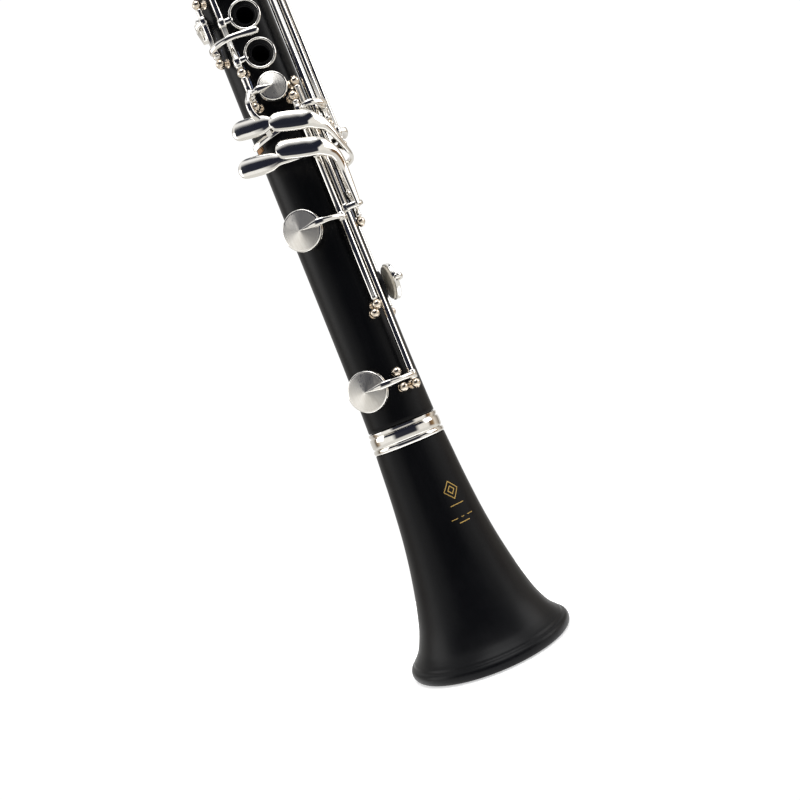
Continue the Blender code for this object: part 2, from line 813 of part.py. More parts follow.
def build_ligature():
    outer = LIGATURE_INNER + 0.0007
    high, low = LIGATURE_HIGH, LIGATURE_LOW
    profile = ((outer, high), (outer, low), (LIGATURE_INNER, low), (LIGATURE_INNER, high))
    solids = [turned(profile, BODY_STEPS, closed=True)]
    cuts = [box((-0.0012, 0.010, low - 0.001), (0.0012, 0.020, high + 0.001))]
    for z in SCREW_HEIGHTS:
        low_corner = (-0.0030, LIGATURE_INNER - 0.0001, z - 0.0025)
        solids.append(box(low_corner, (0.0030, SCREW_Y + 0.0022, z + 0.0025)))
        cuts.append(rod(Vector((-0.005, SCREW_Y, z)), Vector((0.005, SCREW_Y, z)), 0.0014))
    node("ligature", NICKEL, solids, cuts)
    for number, z in enumerate(SCREW_HEIGHTS, 1):
        shank = rod(Vector((-0.0042, SCREW_Y, z)), Vector((0.0040, SCREW_Y, z)), 0.0010)
        head = rod(Vector((0.0034, SCREW_Y, z)), Vector((0.0090, SCREW_Y, z)), 0.0027, 12)
        node(f"ligature_screw_{number}", NICKEL, [shank, head])


def build_thumb_rest():
    foot = LOWER_RADIUS + GAP
    z = stretched(0.292)
    plate = foot + 0.0016
    hook = (
        (foot, z),
        (plate, z),
        (plate, z + 0.010),
        (0.0300, z + 0.0125),
        (0.0322, z + 0.0145),
        (0.0300, z + 0.0158),
        (plate, z + 0.0135),
        (plate, z + 0.019),
        (foot, z + 0.019),
    )
    node("thumb_rest", NICKEL, [side_plate(hook, 0.0052)])


# ---------------------------------------------------------------- lower joint keys
LOW_F = Hinge(20.0, LOWER_HINGE, 0.1620, 0.2595)
LOW_E = Hinge(31.3, LOWER_HINGE, 0.1240, 0.2660)
LOW_F_SHARP = Hinge(118.0, LOWER_HINGE, 0.1590, 0.2595)
LEVER_E = Hinge(48.0, LOWER_HINGE + 0.0006, 0.1990, 0.3300)
LEVER_F = Hinge(62.0, LOWER_HINGE + 0.0022, 0.2450, 0.3250)
LEVER_F_SHARP = Hinge(77.0, LOWER_HINGE + 0.0034, 0.2360, 0.3200)
LEFT_LINE = (0.2605, 0.2765, 0.3380)
LOW_G_SHARP = Hinge(-34.0, LOWER_HINGE, *LEFT_LINE[:2])
LOWER_RINGS = Hinge(-34.0, LOWER_HINGE, *LEFT_LINE[1:])
CROSS_F_SHARP = Hinge(-64.0, LOWER_HINGE, 0.2860, 0.3140)

LEFT_TOUCH_FACE = -32.0
LEFT_TOUCH_RADIUS = 0.0206
FRONT_TOUCH_RADIUS = 0.0266
TOUCH_WIDTH = 0.0088
TOUCH_SLOPE = -12.0


def touch_plate(face, radius, z, start, end):
    """A little finger's touch on the plane that faces this angle, from start to end along it."""
    middle = (start + end) / 2
    at = facing(face, radius, stretched(z), TOUCH_SLOPE) @ Matrix.Translation((middle, 0, 0))
    return paddle(at, end - start, TOUCH_WIDTH)


def lever_touch(angle, radius, z):
    """A narrow touch that lies along the bore."""
    return paddle(facing(angle, radius, stretched(z), 90), 0.0140, 0.0050, 0.0022)


def build_low_e():
    hole = LOWER_HOLES["e"]
    opened = LOW_E.swing(hole.angle, PAD_TRAVEL)
    stem = path(
        (
            (31.3, 0.0190, 0.2060),
            (31.3, 0.0226, 0.2060),
            (40.0, 0.0232, 0.2068),
            (41.0, 0.0234, 0.2220),
            (37.0, 0.0250, 0.2285),
            (22.0, 0.0270, 0.2320),
        ),
        0.0013,
    )
    arm = cup_arm(LOW_E, hole, 0.0212)
    touch = touch_plate(0, FRONT_TOUCH_RADIUS, 0.2341, -0.0115, 0.0120)
    key("low_e_key", LOW_E, [arm], [hole], opened, [stem, touch])
    hole.pad("low_e_pad", LOW_E, opened)
    posts_and_rod("low_e_rod_and_posts", LOW_E, lower_radius)


def build_low_f():
    hole = LOWER_HOLES["f"]
    opened = LOW_F.swing(hole.angle, PAD_TRAVEL)
    stem = path(
        (
            (20.0, 0.0190, 0.2325),
            (10.0, 0.0206, 0.2330),
            (-5.0, 0.0208, 0.2335),
            (-24.0, 0.0208, 0.2346),
        ),
        0.0012,
    )
    lug = path(
        (
            (20.0, 0.0190, 0.2530),
            (21.5, 0.0250, 0.2530),
            (34.0, 0.0258, 0.2530),
            (46.0, 0.0262, 0.2530),
        )
    )
    arm = cup_arm(LOW_F, hole, 0.0212)
    touch = touch_plate(LEFT_TOUCH_FACE, LEFT_TOUCH_RADIUS, 0.2351, -0.0193, 0.0040)
    key("low_f_key", LOW_F, [arm, lug], [hole], opened, [stem, touch])
    hole.pad("low_f_pad", LOW_F, opened)
    posts_and_rod("low_f_rod_and_posts", LOW_F, lower_radius)


def build_low_f_sharp():
    hole = LOWER_HOLES["f_sharp"]
    opened = LOW_F_SHARP.swing(hole.angle, FAR_PAD_TRAVEL)
    stem = path(
        (
            (118.0, 0.0190, 0.2300),
            (114.0, 0.0222, 0.2300),
            (96.0, 0.0236, 0.2300),
            (78.0, 0.0240, 0.2300),
            (58.0, 0.0247, 0.2310),
            (47.0, 0.0252, 0.2370),
            (36.0, 0.0262, 0.2420),
            (22.0, 0.0272, 0.2440),
        ),
        0.0013,
    )
    lug = path(((118.0, 0.0190, 0.2425), (108.0, 0.0215, 0.2425), (99.0, 0.0224, 0.2425)))
    arm = cup_arm(LOW_F_SHARP, hole)
    touch = touch_plate(0, FRONT_TOUCH_RADIUS, 0.2464, -0.0098, 0.0120)
    key("low_f_sharp_key", LOW_F_SHARP, [arm, lug], [hole], opened, [stem, touch])
    hole.pad("low_f_sharp_pad", LOW_F_SHARP, opened)
    posts_and_rod("low_f_sharp_rod_and_posts", LOW_F_SHARP, lower_radius)


def build_low_g_sharp_and_rings():
    hole = LOWER_HOLES["g_sharp"]
    stem = path(
        (
            (-34.0, 0.0190, 0.2665),
            (-36.0, 0.0226, 0.2660),
            (-36.0, 0.0226, 0.2600),
            (-34.0, 0.0210, 0.2540),
        ),
        0.0012,
    )
    touch = touch_plate(LEFT_TOUCH_FACE, LEFT_TOUCH_RADIUS, 0.2518, -0.0153, 0.0050)
    key("low_g_sharp_key", LOW_G_SHARP, [cup_arm(LOW_G_SHARP, hole), stem, touch], [hole])
    hole.pad("low_g_sharp_pad", LOW_G_SHARP, 0.0)
    vent = LOWER_HOLES["ring_vent"]
    opened = LOWER_RINGS.swing(vent.angle, VENT_TRAVEL)
    bridge = path(
        ((-34.0, 0.0190, 0.3330), (-39.0, 0.0216, 0.3340), (-44.0, 0.0216, 0.3380), (-44.0, 0.0204, 0.3510))
    )
    solids = [finger.ring() for finger in LOWER_FINGERS]
    solids += [finger.ring_arm(LOWER_RINGS) for finger in LOWER_FINGERS]
    key("lower_ring_key", LOWER_RINGS, [*solids, cup_arm(LOWER_RINGS, vent), bridge], [vent], opened)
    vent.pad("lower_ring_pad", LOWER_RINGS, opened)
    line = Hinge(LOWER_RINGS.angle, LOWER_RINGS.radius, LEFT_LINE[0], LEFT_LINE[2])
    posts_and_rod("left_line_rod_and_posts", line, lower_radius, (LOW_G_SHARP.high,))


def build_cross_f_sharp():
    hole = LOWER_HOLES["cross_f_sharp"]
    touch = path(
        ((-64.0, 0.0190, 0.2905), (-58.0, 0.0232, 0.2905), (-28.0, 0.0230, 0.2905), (-12.0, 0.0210, 0.2905))
    )
    tip = path(((-14.0, 0.0211, 0.2905), (4.0, 0.0206, 0.2905)), 0.0013)
    key("cross_f_sharp_key", CROSS_F_SHARP, [cup_arm(CROSS_F_SHARP, hole), touch, tip], [hole])
    posts_and_rod("cross_f_sharp_rod_and_posts", CROSS_F_SHARP, lower_radius)


def build_levers():
    foot = path(((48.0, 0.0198, 0.2120), (40.0, 0.0204, 0.2120)), 0.0009)
    arm = path(((48.0, 0.0196, 0.3240), (52.0, 0.0232, 0.3245), (57.0, 0.0240, 0.3280), (57.0, 0.0240, 0.3340)))
    key("lever_e", LEVER_E, [foot, arm, lever_touch(57.0, 0.0240, 0.3380)])
    posts_and_rod("lever_e_rod_and_posts", LEVER_E, lower_radius)
    foot = path(((62.0, 0.0212, 0.2530), (57.0, 0.0224, 0.2530), (46.0, 0.0224, 0.2530)), 0.0009)
    arm = path(((62.0, 0.0212, 0.3190), (66.0, 0.0246, 0.3195), (73.0, 0.0252, 0.3230), (73.0, 0.0252, 0.3340)))
    key("lever_f", LEVER_F, [foot, arm, lever_touch(73.0, 0.0252, 0.3380)])
    posts_and_rod("lever_f_rod_and_posts", LEVER_F, lower_radius)
    foot = path(((77.0, 0.0224, 0.2425), (84.0, 0.0262, 0.2425), (100.0, 0.0264, 0.2425)), 0.0009)
    arm = path(((77.0, 0.0224, 0.3140), (82.0, 0.0256, 0.3145), (89.0, 0.0262, 0.3180), (89.0, 0.0262, 0.3340)))
    key("lever_f_sharp", LEVER_F_SHARP, [foot, arm, lever_touch(89.0, 0.0262, 0.3380)])
    posts_and_rod("lever_f_sharp_rod_and_posts", LEVER_F_SHARP, lower_radius)


# ---------------------------------------------------------------- upper joint keys
UPPER_RINGS = Hinge(-36.0, UPPER_HINGE, 0.3560, 0.4890)
THUMB_RING = Hinge(112.0, UPPER_HINGE, 0.4800, 0.5080)
C_SHARP = Hinge(52.0, UPPER_HINGE, 0.3840, 0.4190)
SLIVER = Hinge(46.0, UPPER_HINGE, 0.4310, 0.4520)
SADDLE_Z = 0.3830
SIDE_HINGES = (
    Hinge(-66.0, UPPER_HINGE, SADDLE_Z, 0.4590),
    Hinge(-80.0, UPPER_HINGE, SADDLE_Z, 0.4780),
    Hinge(-94.0, UPPER_HINGE, SADDLE_Z, 0.5110),
    Hinge(-108.0, UPPER_HINGE, SADDLE_Z, 0.5290),
)
SIDE_OVER = UPPER_HINGE + 0.0033
REGISTER = CrossHinge(180.0, UPPER_HINGE, 0.5120, 0.0056)
THROAT_A = CrossHinge(0.0, UPPER_HINGE, 0.5120, 0.0056)
THROAT_G_SHARP = CrossHinge(38.0, UPPER_HINGE, 0.5020, 0.0056)


def build_upper_rings():
    vent = UPPER_HOLES["ring_vent"]
    opened = UPPER_RINGS.swing(vent.angle, VENT_TRAVEL)
    fingers = UPPER_FINGERS[1:]
    solids = [finger.ring() for finger in fingers] + [finger.ring_arm(UPPER_RINGS) for finger in fingers]
    bridge = path(
        ((-36.0, 0.0178, 0.3620), (-40.0, 0.0222, 0.3610), (-44.0, 0.0230, 0.3580), (-44.0, 0.0232, 0.3490))
    )
    key("upper_ring_key", UPPER_RINGS, [*solids, cup_arm(UPPER_RINGS, vent), bridge], [vent], opened)
    posts_and_rod("upper_ring_rod_and_posts", UPPER_RINGS, upper_radius)


def build_thumb_ring():
    vent = UPPER_HOLES["thumb_vent"]
    opened = THUMB_RING.swing(vent.angle, VENT_TRAVEL)
    solids = [THUMB_HOLE.ring(), thumb_ring_arm(), cup_arm(THUMB_RING, vent)]
    key("thumb_ring_key", THUMB_RING, solids, [vent], opened)
    posts_and_rod("thumb_ring_rod_and_posts", THUMB_RING, upper_radius)


def thumb_ring_arm():
    rim = (FINGER_RING_INNER + FINGER_RING_OUTER) / 2
    height = THUMB_HOLE.surface + FINGER_RING_HEIGHT + FINGER_RING_THICKNESS * 0.6
    turn = math.degrees(math.atan2(rim, height))
    z = THUMB_HOLE.z
    return bar([place(112.0, 0.0178, z), place(180.0 - turn - 12, 0.0186, z),
                place(180.0 - turn, math.hypot(rim, height), z)], ARM_RADIUS * 0.8)


def cross_key(name, hinge, hole, touch_z, touch_length, body_radius):
    """A key that rocks across the bore: the touch below its hinge, the cup above."""
    angle = hinge.angle
    touch_radius = hinge.radius + 0.0030
    spots = (
        (hole.apex - CUP_CONE * 0.35, hole.z),
        (hinge.radius + 0.0026, hinge.z + 0.0070),
        (hinge.radius + 0.0016, hinge.z),
        (touch_radius, hinge.z - 0.0050),
        (touch_radius, stretched(touch_z)),
    )
    arm = bar([place(angle, *spot) for spot in spots], ARM_RADIUS)
    touch = paddle(facing(angle, touch_radius, stretched(touch_z), 90), touch_length, 0.0060, 0.0020)
    key(name, hinge, [arm, touch], [hole])
    cross_posts_and_rod(name.replace("_key", "_rod_and_posts"), hinge, body_radius)


def build_small_upper_keys():
    hole = UPPER_HOLES["c_sharp"]
    touch = path(((52.0, 0.0178, 0.3930), (44.0, 0.0200, 0.3930), (34.0, 0.0204, 0.3930)))
    plate = paddle(facing(30.0, 0.0206, stretched(0.3930), 90), 0.0120, 0.0060, 0.0022)
    key("c_sharp_key", C_SHARP, [cup_arm(C_SHARP, hole), touch, plate], [hole])
    posts_and_rod("c_sharp_rod_and_posts", C_SHARP, upper_radius)
    hole = UPPER_HOLES["sliver"]
    touch = path(((46.0, 0.0178, 0.4430), (36.0, 0.0196, 0.4430), (22.0, 0.0196, 0.4430)))
    key("sliver_key", SLIVER, [cup_arm(SLIVER, hole), touch], [hole])
    posts_and_rod("sliver_rod_and_posts", SLIVER, upper_radius)


def side_touch(angle, z):
    return paddle(facing(angle, SIDE_OVER + 0.0006, stretched(z), 90), 0.0150, 0.0044, 0.0022)


def build_side_keys():
    one, two, three, four = SIDE_HINGES
    holes = [UPPER_HOLES[f"side_{number}"] for number in (1, 2, 3, 4)]
    start = 0.0182
    touches = (
        (path(((-66.0, start, 0.3920), (-62.0, 0.0206, 0.3920), (-58.0, SIDE_OVER + 0.0006, 0.3940))),
         side_touch(-58.0, 0.3990)),
        (path(((-80.0, start, 0.4120), (-76.0, 0.0206, 0.4120), (-70.0, SIDE_OVER + 0.0006, 0.4140))),
         side_touch(-70.0, 0.4200)),
        (path(((-94.0, start, 0.3920), (-99.0, 0.0206, 0.3920), (-104.0, SIDE_OVER + 0.0006, 0.3940))),
         side_touch(-104.0, 0.3990)),
        (path(((-108.0, start, 0.4120), (-113.0, 0.0206, 0.4120), (-118.0, SIDE_OVER + 0.0006, 0.4140))),
         side_touch(-118.0, 0.4200)),
    )
    overs = (SIDE_OVER, SIDE_OVER, None, None)
    for number, (hinge, hole, solids, over) in enumerate(zip(SIDE_HINGES, holes, touches, overs), 1):
        key(f"side_key_{number}", hinge, [*solids, cup_arm(hinge, hole, over)], [hole])
    rods = []
    for hinge in (one, two, three, four):
        ends = [place(hinge.angle, hinge.radius, z) for z in (hinge.low, hinge.high)]
        rods.append(rod(*ends, ROD_RADIUS))
        rods += [post(hinge.angle, z, hinge.radius, upper_radius) for z in (hinge.low, hinge.high)]
    height = UPPER_RADIUS + 0.0016
    plate = arc_bar((one.angle, height, SADDLE_Z), (four.angle, height, SADDLE_Z))
    node("side_keys_saddle_and_rods", STEEL, [plate, *rods])


build_bell()
build_lower_joint()
build_upper_joint()
build_barrel()
build_mouthpiece()
build_ligature()
build_thumb_rest()
build_low_e()
build_low_f()
build_low_f_sharp()
build_low_g_sharp_and_rings()
build_cross_f_sharp()
build_levers()
build_upper_rings()
build_thumb_ring()
cross_key("register_key", REGISTER, UPPER_HOLES["register"], 0.5005, 0.0095, upper_radius)
cross_key("throat_a_key", THROAT_A, UPPER_HOLES["throat_a"], 0.4960, 0.0120, upper_radius)
cross_key("throat_g_sharp_key", THROAT_G_SHARP, UPPER_HOLES["throat_g_sharp"], 0.4890, 0.0100, upper_radius)
build_small_upper_keys()
build_side_keys()
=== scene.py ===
"""The finished look of a clarinet in B flat with Boehm keywork, standing on its bell.

Sizes are in millimetres in the piece classes and in metres in the meshes. An angle is measured
round the bore from the line of the finger holes, positive to the player's left hand side.
"""

import logging
import math
from dataclasses import dataclass, field
from enum import Enum
from typing import Callable, Iterable, Sequence

import bmesh
import bpy
from mathutils import Matrix, Vector


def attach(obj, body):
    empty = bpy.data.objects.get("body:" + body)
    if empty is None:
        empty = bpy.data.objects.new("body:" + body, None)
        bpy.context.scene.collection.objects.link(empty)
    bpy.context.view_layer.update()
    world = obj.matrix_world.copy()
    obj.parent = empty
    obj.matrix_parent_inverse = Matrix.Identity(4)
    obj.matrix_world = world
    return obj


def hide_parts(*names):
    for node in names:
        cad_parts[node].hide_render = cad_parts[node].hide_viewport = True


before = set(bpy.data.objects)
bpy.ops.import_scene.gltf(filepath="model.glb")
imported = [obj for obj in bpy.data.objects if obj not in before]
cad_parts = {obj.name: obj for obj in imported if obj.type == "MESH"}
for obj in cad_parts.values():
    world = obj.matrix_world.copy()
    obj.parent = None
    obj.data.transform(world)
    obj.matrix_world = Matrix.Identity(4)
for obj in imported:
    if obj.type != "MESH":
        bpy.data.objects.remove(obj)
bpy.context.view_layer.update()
LOG = logging.getLogger("clarinet")

MM = 0.001
UP = Vector((0, 0, 1))
TURNING = "turning"
ROOT = "body"
Profile = Sequence[tuple[float, float]]


class Slot(Enum):
    """The record's material slots."""

    BODY = "black_body"
    PLATE = "nickel_plate"
    STEEL = "steel_rod"
    CORK = "cork"
    SKIN = "pad_skin"
    EBONITE = "ebonite"
    CANE = "cane"


# ---------------------------------------------------------------- places round the bore
def outward(angle: float) -> Vector:
    """The direction away from the bore at this angle in degrees."""
    turn = math.radians(angle)
    return Vector((math.sin(turn), -math.cos(turn), 0))


def sideways(angle: float) -> Vector:
    """The direction round the bore, towards larger angles."""
    turn = math.radians(angle)
    return Vector((math.cos(turn), math.sin(turn), 0))


def place(angle: float, radius: float, height: float) -> Vector:
    """A point in metres from an angle and two sizes in millimetres."""
    return (outward(angle) * radius + UP * height) * MM


def facing(angle: float, radius: float, height: float, tilt: float = 0.0) -> Matrix:
    """Local axes on the instrument's surface.

    Args:
        angle: degrees round the bore.
        radius: distance of the origin from the bore's axis, in millimetres.
        height: height of the origin, in millimetres.
        tilt: turn about the outward axis, in degrees.

    Returns:
        X sideways, Y up the bore and Z outward.
    """
    axes = Matrix((sideways(angle), UP, outward(angle))).transposed().to_4x4()
    tilted = Matrix.Rotation(math.radians(tilt), 4, "Z")
    return Matrix.Translation(place(angle, radius, height)) @ axes @ tilted


def along(start: Vector, end: Vector) -> Matrix:
    """Local axes at start with Z towards end."""
    return Matrix.Translation(start) @ (end - start).to_track_quat("Z", "Y").to_matrix().to_4x4()


def through(knots: Sequence[Sequence[float]], steps: int) -> list[tuple[float, ...]]:
    """Rows of numbers along a smooth curve through the knots.

    Args:
        knots: the rows to pass through.
        steps: how many rows each stretch between two knots gets.

    Returns:
        The rows, from the first knot to the last.
    """
    rows = []
    last = len(knots) - 1
    for i in range(last):
        before, start, end, after = (knots[min(max(i + k, 0), last)] for k in (-1, 0, 1, 2))
        for step in range(steps):
            t = step / steps
            rows.append(tuple(
                0.5 * (2 * b + (c - a) * t + (2 * a - 5 * b + 4 * c - d) * t**2
                       + (3 * b - a - 3 * c + d) * t**3)
                for a, b, c, d in zip(before, start, end, after)
            ))
    rows.append(tuple(knots[last]))
    return rows


@dataclass(frozen=True)
class Spot:
    """One section of a bar, in millimetres, at an angle round the bore."""

    angle: float
    radius: float
    height: float
    width: float
    thickness: float
    face: float | None = None
    pitch: float = 0.0

    def row(self) -> tuple[float, ...]:
        """The numbers that a smooth bar is drawn through."""
        face = self.angle if self.face is None else self.face
        return (self.angle, self.radius, self.height, self.width, self.thickness, face, self.pitch)


def on_plane(at: Matrix, along_x: float, width: float, thickness: float, face: float,
             pitch: float) -> Spot:
    """A section of a flat touch.

    Args:
        at: the plane's axes, with X along the touch.
        along_x: distance of the section along X, in millimetres.
        width: width of the touch there.
        thickness: thickness of the touch there.
        face: angle round the bore that the touch faces.
        pitch: how far its face is raised, in degrees.

    Returns:
        The section.
    """
    point = at @ Vector((along_x * MM, 0, 0))
    angle = math.degrees(math.atan2(point.x, -point.y))
    return Spot(angle, math.hypot(point.x, point.y) / MM, point.z / MM, width, thickness, face, pitch)


# ---------------------------------------------------------------- shapes
class Shape:
    """A mesh in the making, in metres and in the frame's own place."""

    def __init__(self) -> None:
        """Starts an empty mesh with a map for turned surfaces."""
        self.mesh = bmesh.new()
        self.mesh.loops.layers.uv.new(TURNING)

    def take(self, part: bmesh.types.BMesh, at: Matrix | None = None) -> "Shape":
        """Adds a finished bmesh, placed by a matrix, and frees it."""
        if at is not None:
            part.transform(at)
        data = bpy.data.meshes.new("part")
        part.to_mesh(data)
        part.free()
        self.mesh.from_mesh(data)
        bpy.data.meshes.remove(data)
        return self

    def turn(self, profile: Profile, at: Matrix | None = None, steps: int = 32, bevel: float = 0.0,
             closed: bool = False) -> "Shape":
        """Adds a turned shape.

        Args:
            profile: (radius, height) points in millimetres.
            at: where its axis stands. The axis is the local Z.
            steps: sides of the turned shape.
            bevel: width in millimetres of the rounding on its sharp rings.
            closed: True for a ring, whose profile doesn't end on the axis.

        Returns:
            This shape.
        """
        part = bmesh.new()
        verts = [part.verts.new((radius * MM, 0, height * MM)) for radius, height in profile]
        edges = [part.edges.new(pair) for pair in zip(verts, verts[1:])]
        if closed:
            edges.append(part.edges.new((verts[-1], verts[0])))
        bmesh.ops.spin(part, geom=verts + edges, cent=(0, 0, 0), axis=(0, 0, 1), angle=math.tau,
                       steps=steps, use_merge=True)
        bmesh.ops.remove_doubles(part, verts=part.verts, dist=1e-6)
        bmesh.ops.dissolve_degenerate(part, dist=1e-7, edges=part.edges)
        bmesh.ops.recalc_face_normals(part, faces=part.faces)
        soften(part, bevel)
        lay_turning_map(part)
        return self.take(part, at)

    def rod(self, start: Vector, end: Vector, radius: float, steps: int = 16,
            bevel: float = 0.15) -> "Shape":
        """Adds a round rod between two points, of a radius in millimetres."""
        length = (end - start).length / MM
        section = ((0, length), (radius, length), (radius, 0), (0, 0))
        return self.turn(section, along(start, end), steps, bevel)

    def sweep(self, spots: Sequence[Spot], sides: int = 14, steps: int = 5,
              square: float = 2.5) -> "Shape":
        """Adds a smooth bar with round ends through the spots.

        Args:
            spots: its sections, in order.
            sides: corners of each section.
            steps: sections between two spots.
            square: 2 for an oval section, more for a squarer one.

        Returns:
            This shape.
        """
        rows = through([spot.row() for spot in spots], steps)
        frames = swept_frames(rows)
        part = bmesh.new()
        ring = bmesh.ops.create_circle(part, cap_ends=False, radius=1, segments=sides)["verts"]
        for vert in ring:
            squared = [math.copysign(abs(share) ** (2 / square), share) for share in vert.co[:2]]
            vert.co = Vector((*squared, 0))
        edges = list(part.edges)
        first = list(edges)
        part.transform(frames[0])
        for before, after in zip(frames, frames[1:]):
            grown = bmesh.ops.extrude_edge_only(part, edges=edges)["geom"]
            edges = [item for item in grown if isinstance(item, bmesh.types.BMEdge)]
            fresh = [item for item in grown if isinstance(item, bmesh.types.BMVert)]
            bmesh.ops.transform(part, matrix=after @ before.inverted(), verts=fresh)
        bmesh.ops.edgeloop_fill(part, edges=first)
        bmesh.ops.edgeloop_fill(part, edges=edges)
        bmesh.ops.recalc_face_normals(part, faces=part.faces)
        return self.take(part)

    def block(self, low: Sequence[float], high: Sequence[float], at: Matrix | None = None,
              bevel: float = 0.3) -> "Shape":
        """Adds a box with softened edges between two corners in millimetres."""
        part = bmesh.new()
        bmesh.ops.create_cube(part, size=1)
        low_corner, high_corner = Vector(low) * MM, Vector(high) * MM
        bmesh.ops.scale(part, verts=part.verts, vec=high_corner - low_corner)
        bmesh.ops.translate(part, verts=part.verts, vec=(low_corner + high_corner) / 2)
        soften(part, bevel)
        return self.take(part, at)

    def join(self, other: "Shape") -> "Shape":
        """Adds another shape, which is used up."""
        return self.take(other.mesh)

    def moved(self, matrix: Matrix) -> "Shape":
        """Moves the whole shape."""
        self.mesh.transform(matrix)
        return self


def soften(part: bmesh.types.BMesh, width: float, over: float = 28.0) -> None:
    """Rounds the sharp edges of a closed mesh.

    Args:
        part: the mesh.
        width: width of the rounding in millimetres, or 0 to leave the edges as they are.
        over: edges over this angle in degrees are rounded.
    """
    if width <= 0:
        return
    limit = math.radians(over)
    sharp = [edge for edge in part.edges
             if len(edge.link_faces) == 2 and edge.calc_face_angle(0) > limit]
    bmesh.ops.bevel(part, geom=sharp, offset=width * MM, offset_type="OFFSET", segments=2, profile=0.5,
                    affect="EDGES", clamp_overlap=True, material=-1)


def lay_turning_map(part: bmesh.types.BMesh) -> None:
    """Gives a turned mesh a map: U round its axis and V outward from it."""
    layer = part.loops.layers.uv.new(TURNING)
    for face in part.faces:
        turns = [math.atan2(loop.vert.co.y, loop.vert.co.x) / math.tau + 0.5 for loop in face.loops]
        wraps = max(turns) - min(turns) > 0.5
        for loop, turn in zip(face.loops, turns):
            across = math.hypot(loop.vert.co.x, loop.vert.co.y) / MM
            loop[layer].uv = (turn + 1 if wraps and turn < 0.5 else turn, across)


END_TURNS = (22, 42, 60, 75, 86)
SHORTEST_FACING = 0.35


def pitched(angle: float, pitch: float) -> Vector:
    """The direction outward at an angle, raised by a pitch."""
    rise = math.radians(pitch)
    return outward(angle) * math.cos(rise) + UP * math.sin(rise)


def swept_frames(rows: Sequence[Sequence[float]]) -> list[Matrix]:
    """The frames of a bar's sections, its round ends included.

    Args:
        rows: angle, radius, height, width, thickness, facing angle and upward pitch of each section.

    Returns:
        Matrices that carry a unit circle in XY to each section.
    """
    points = [place(*row[:3]) for row in rows]
    frames = []
    normal = pitched(*rows[0][5:])
    last = len(rows) - 1
    for i, row in enumerate(rows):
        tangent = (points[min(i + 1, last)] - points[max(i - 1, 0)]).normalized()
        wanted = pitched(*row[5:])
        wanted -= tangent * wanted.dot(tangent)
        if wanted.length < SHORTEST_FACING:
            wanted = normal - tangent * normal.dot(tangent)
        normal = wanted.normalized()
        across = tangent.cross(normal)
        half_width, half_thickness = row[3] * MM / 2, row[4] * MM / 2
        frames.append((points[i], across * half_width, normal * half_thickness, tangent * half_width))
    start, end = frames[0], frames[-1]
    turns = [math.radians(degrees) for degrees in END_TURNS]
    before = [rounded_end(start, -turn) for turn in reversed(turns)]
    after = [rounded_end(end, turn) for turn in turns]
    return [section_matrix(*section) for section in (*before, *frames, *after)]


def rounded_end(section: tuple[Vector, ...], turn: float) -> tuple[Vector, ...]:
    """A section past the end of a bar, shrunk so that the end is round."""
    point, across, normal, onward = section
    shrink = math.cos(turn)
    return (point + onward * math.sin(turn), across * shrink, normal * shrink**0.75, onward * shrink)


def section_matrix(point: Vector, across: Vector, normal: Vector, onward: Vector) -> Matrix:
    """The matrix with these three columns and this origin."""
    return Matrix.Translation(point) @ Matrix((across, normal, onward)).transposed().to_4x4()


def bored(shape: Shape, tools: Shape) -> Shape:
    """The shape with the tools cut out of it."""
    base, cutter = (plain_object(name, item) for name, item in (("base", shape), ("tools", tools)))
    cut = base.modifiers.new("bore", "BOOLEAN")
    cut.operation = "DIFFERENCE"
    cut.object = cutter
    bpy.context.view_layer.update()
    data = bpy.data.meshes.new_from_object(base.evaluated_get(bpy.context.evaluated_depsgraph_get()))
    made = Shape()
    made.mesh.from_mesh(data)
    bmesh.ops.remove_doubles(made.mesh, verts=made.mesh.verts, dist=1e-6)
    for item in (base, cutter):
        bpy.data.objects.remove(item, do_unlink=True)
    bpy.data.meshes.remove(data)
    return made


def placed(name: str, data: bpy.types.ID) -> bpy.types.Object:
    """A new object with this data, in the scene."""
    made = bpy.data.objects.new(name, data)
    bpy.context.scene.collection.objects.link(made)
    return made


def plain_object(name: str, shape: Shape) -> bpy.types.Object:
    """An object from a shape, which is used up."""
    data = bpy.data.meshes.new(name)
    shape.mesh.to_mesh(data)
    shape.mesh.free()
    return placed(name, data)


# ---------------------------------------------------------------- effects for the finishes
Fill = Callable[[bpy.types.NodeTree, bpy.types.Node, bpy.types.Node], None]


def group(name: str, label: str, value: float, fill: Fill) -> bpy.types.NodeTree:
    """A shader node group that marks a surface, built once.

    Args:
        name: the group's name.
        label: the name of its one input.
        value: that input's default.
        fill: adds the nodes between the group's input and output.

    Returns:
        The group, whose outputs are a mask and a height.
    """
    found = bpy.data.node_groups.get(name)
    if found:
        return found
    tree = bpy.data.node_groups.new(name, "ShaderNodeTree")
    given = tree.interface.new_socket(label, in_out="INPUT", socket_type="NodeSocketFloat")
    given.default_value = value
    for output in ("Mask", "Height"):
        tree.interface.new_socket(output, in_out="OUTPUT", socket_type="NodeSocketFloat")
    fill(tree, tree.nodes.new("NodeGroupInput"), tree.nodes.new("NodeGroupOutput"))
    return tree


def stretched_noise(tree: bpy.types.NodeTree, stretch: Sequence[float], scale: float,
                    detail: float = 3.0) -> bpy.types.NodeSocket:
    """Noise on object coordinates, longer along the axes with a small stretch value."""
    where = tree.nodes.new("ShaderNodeTexCoord")
    mapping = tree.nodes.new("ShaderNodeMapping")
    mapping.inputs["Scale"].default_value = stretch
    noise = tree.nodes.new("ShaderNodeTexNoise")
    noise.inputs["Scale"].default_value = scale
    noise.inputs["Detail"].default_value = detail
    tree.links.new(where.outputs["Object"], mapping.inputs["Vector"])
    tree.links.new(mapping.outputs["Vector"], noise.inputs["Vector"])
    return noise.outputs["Fac"]


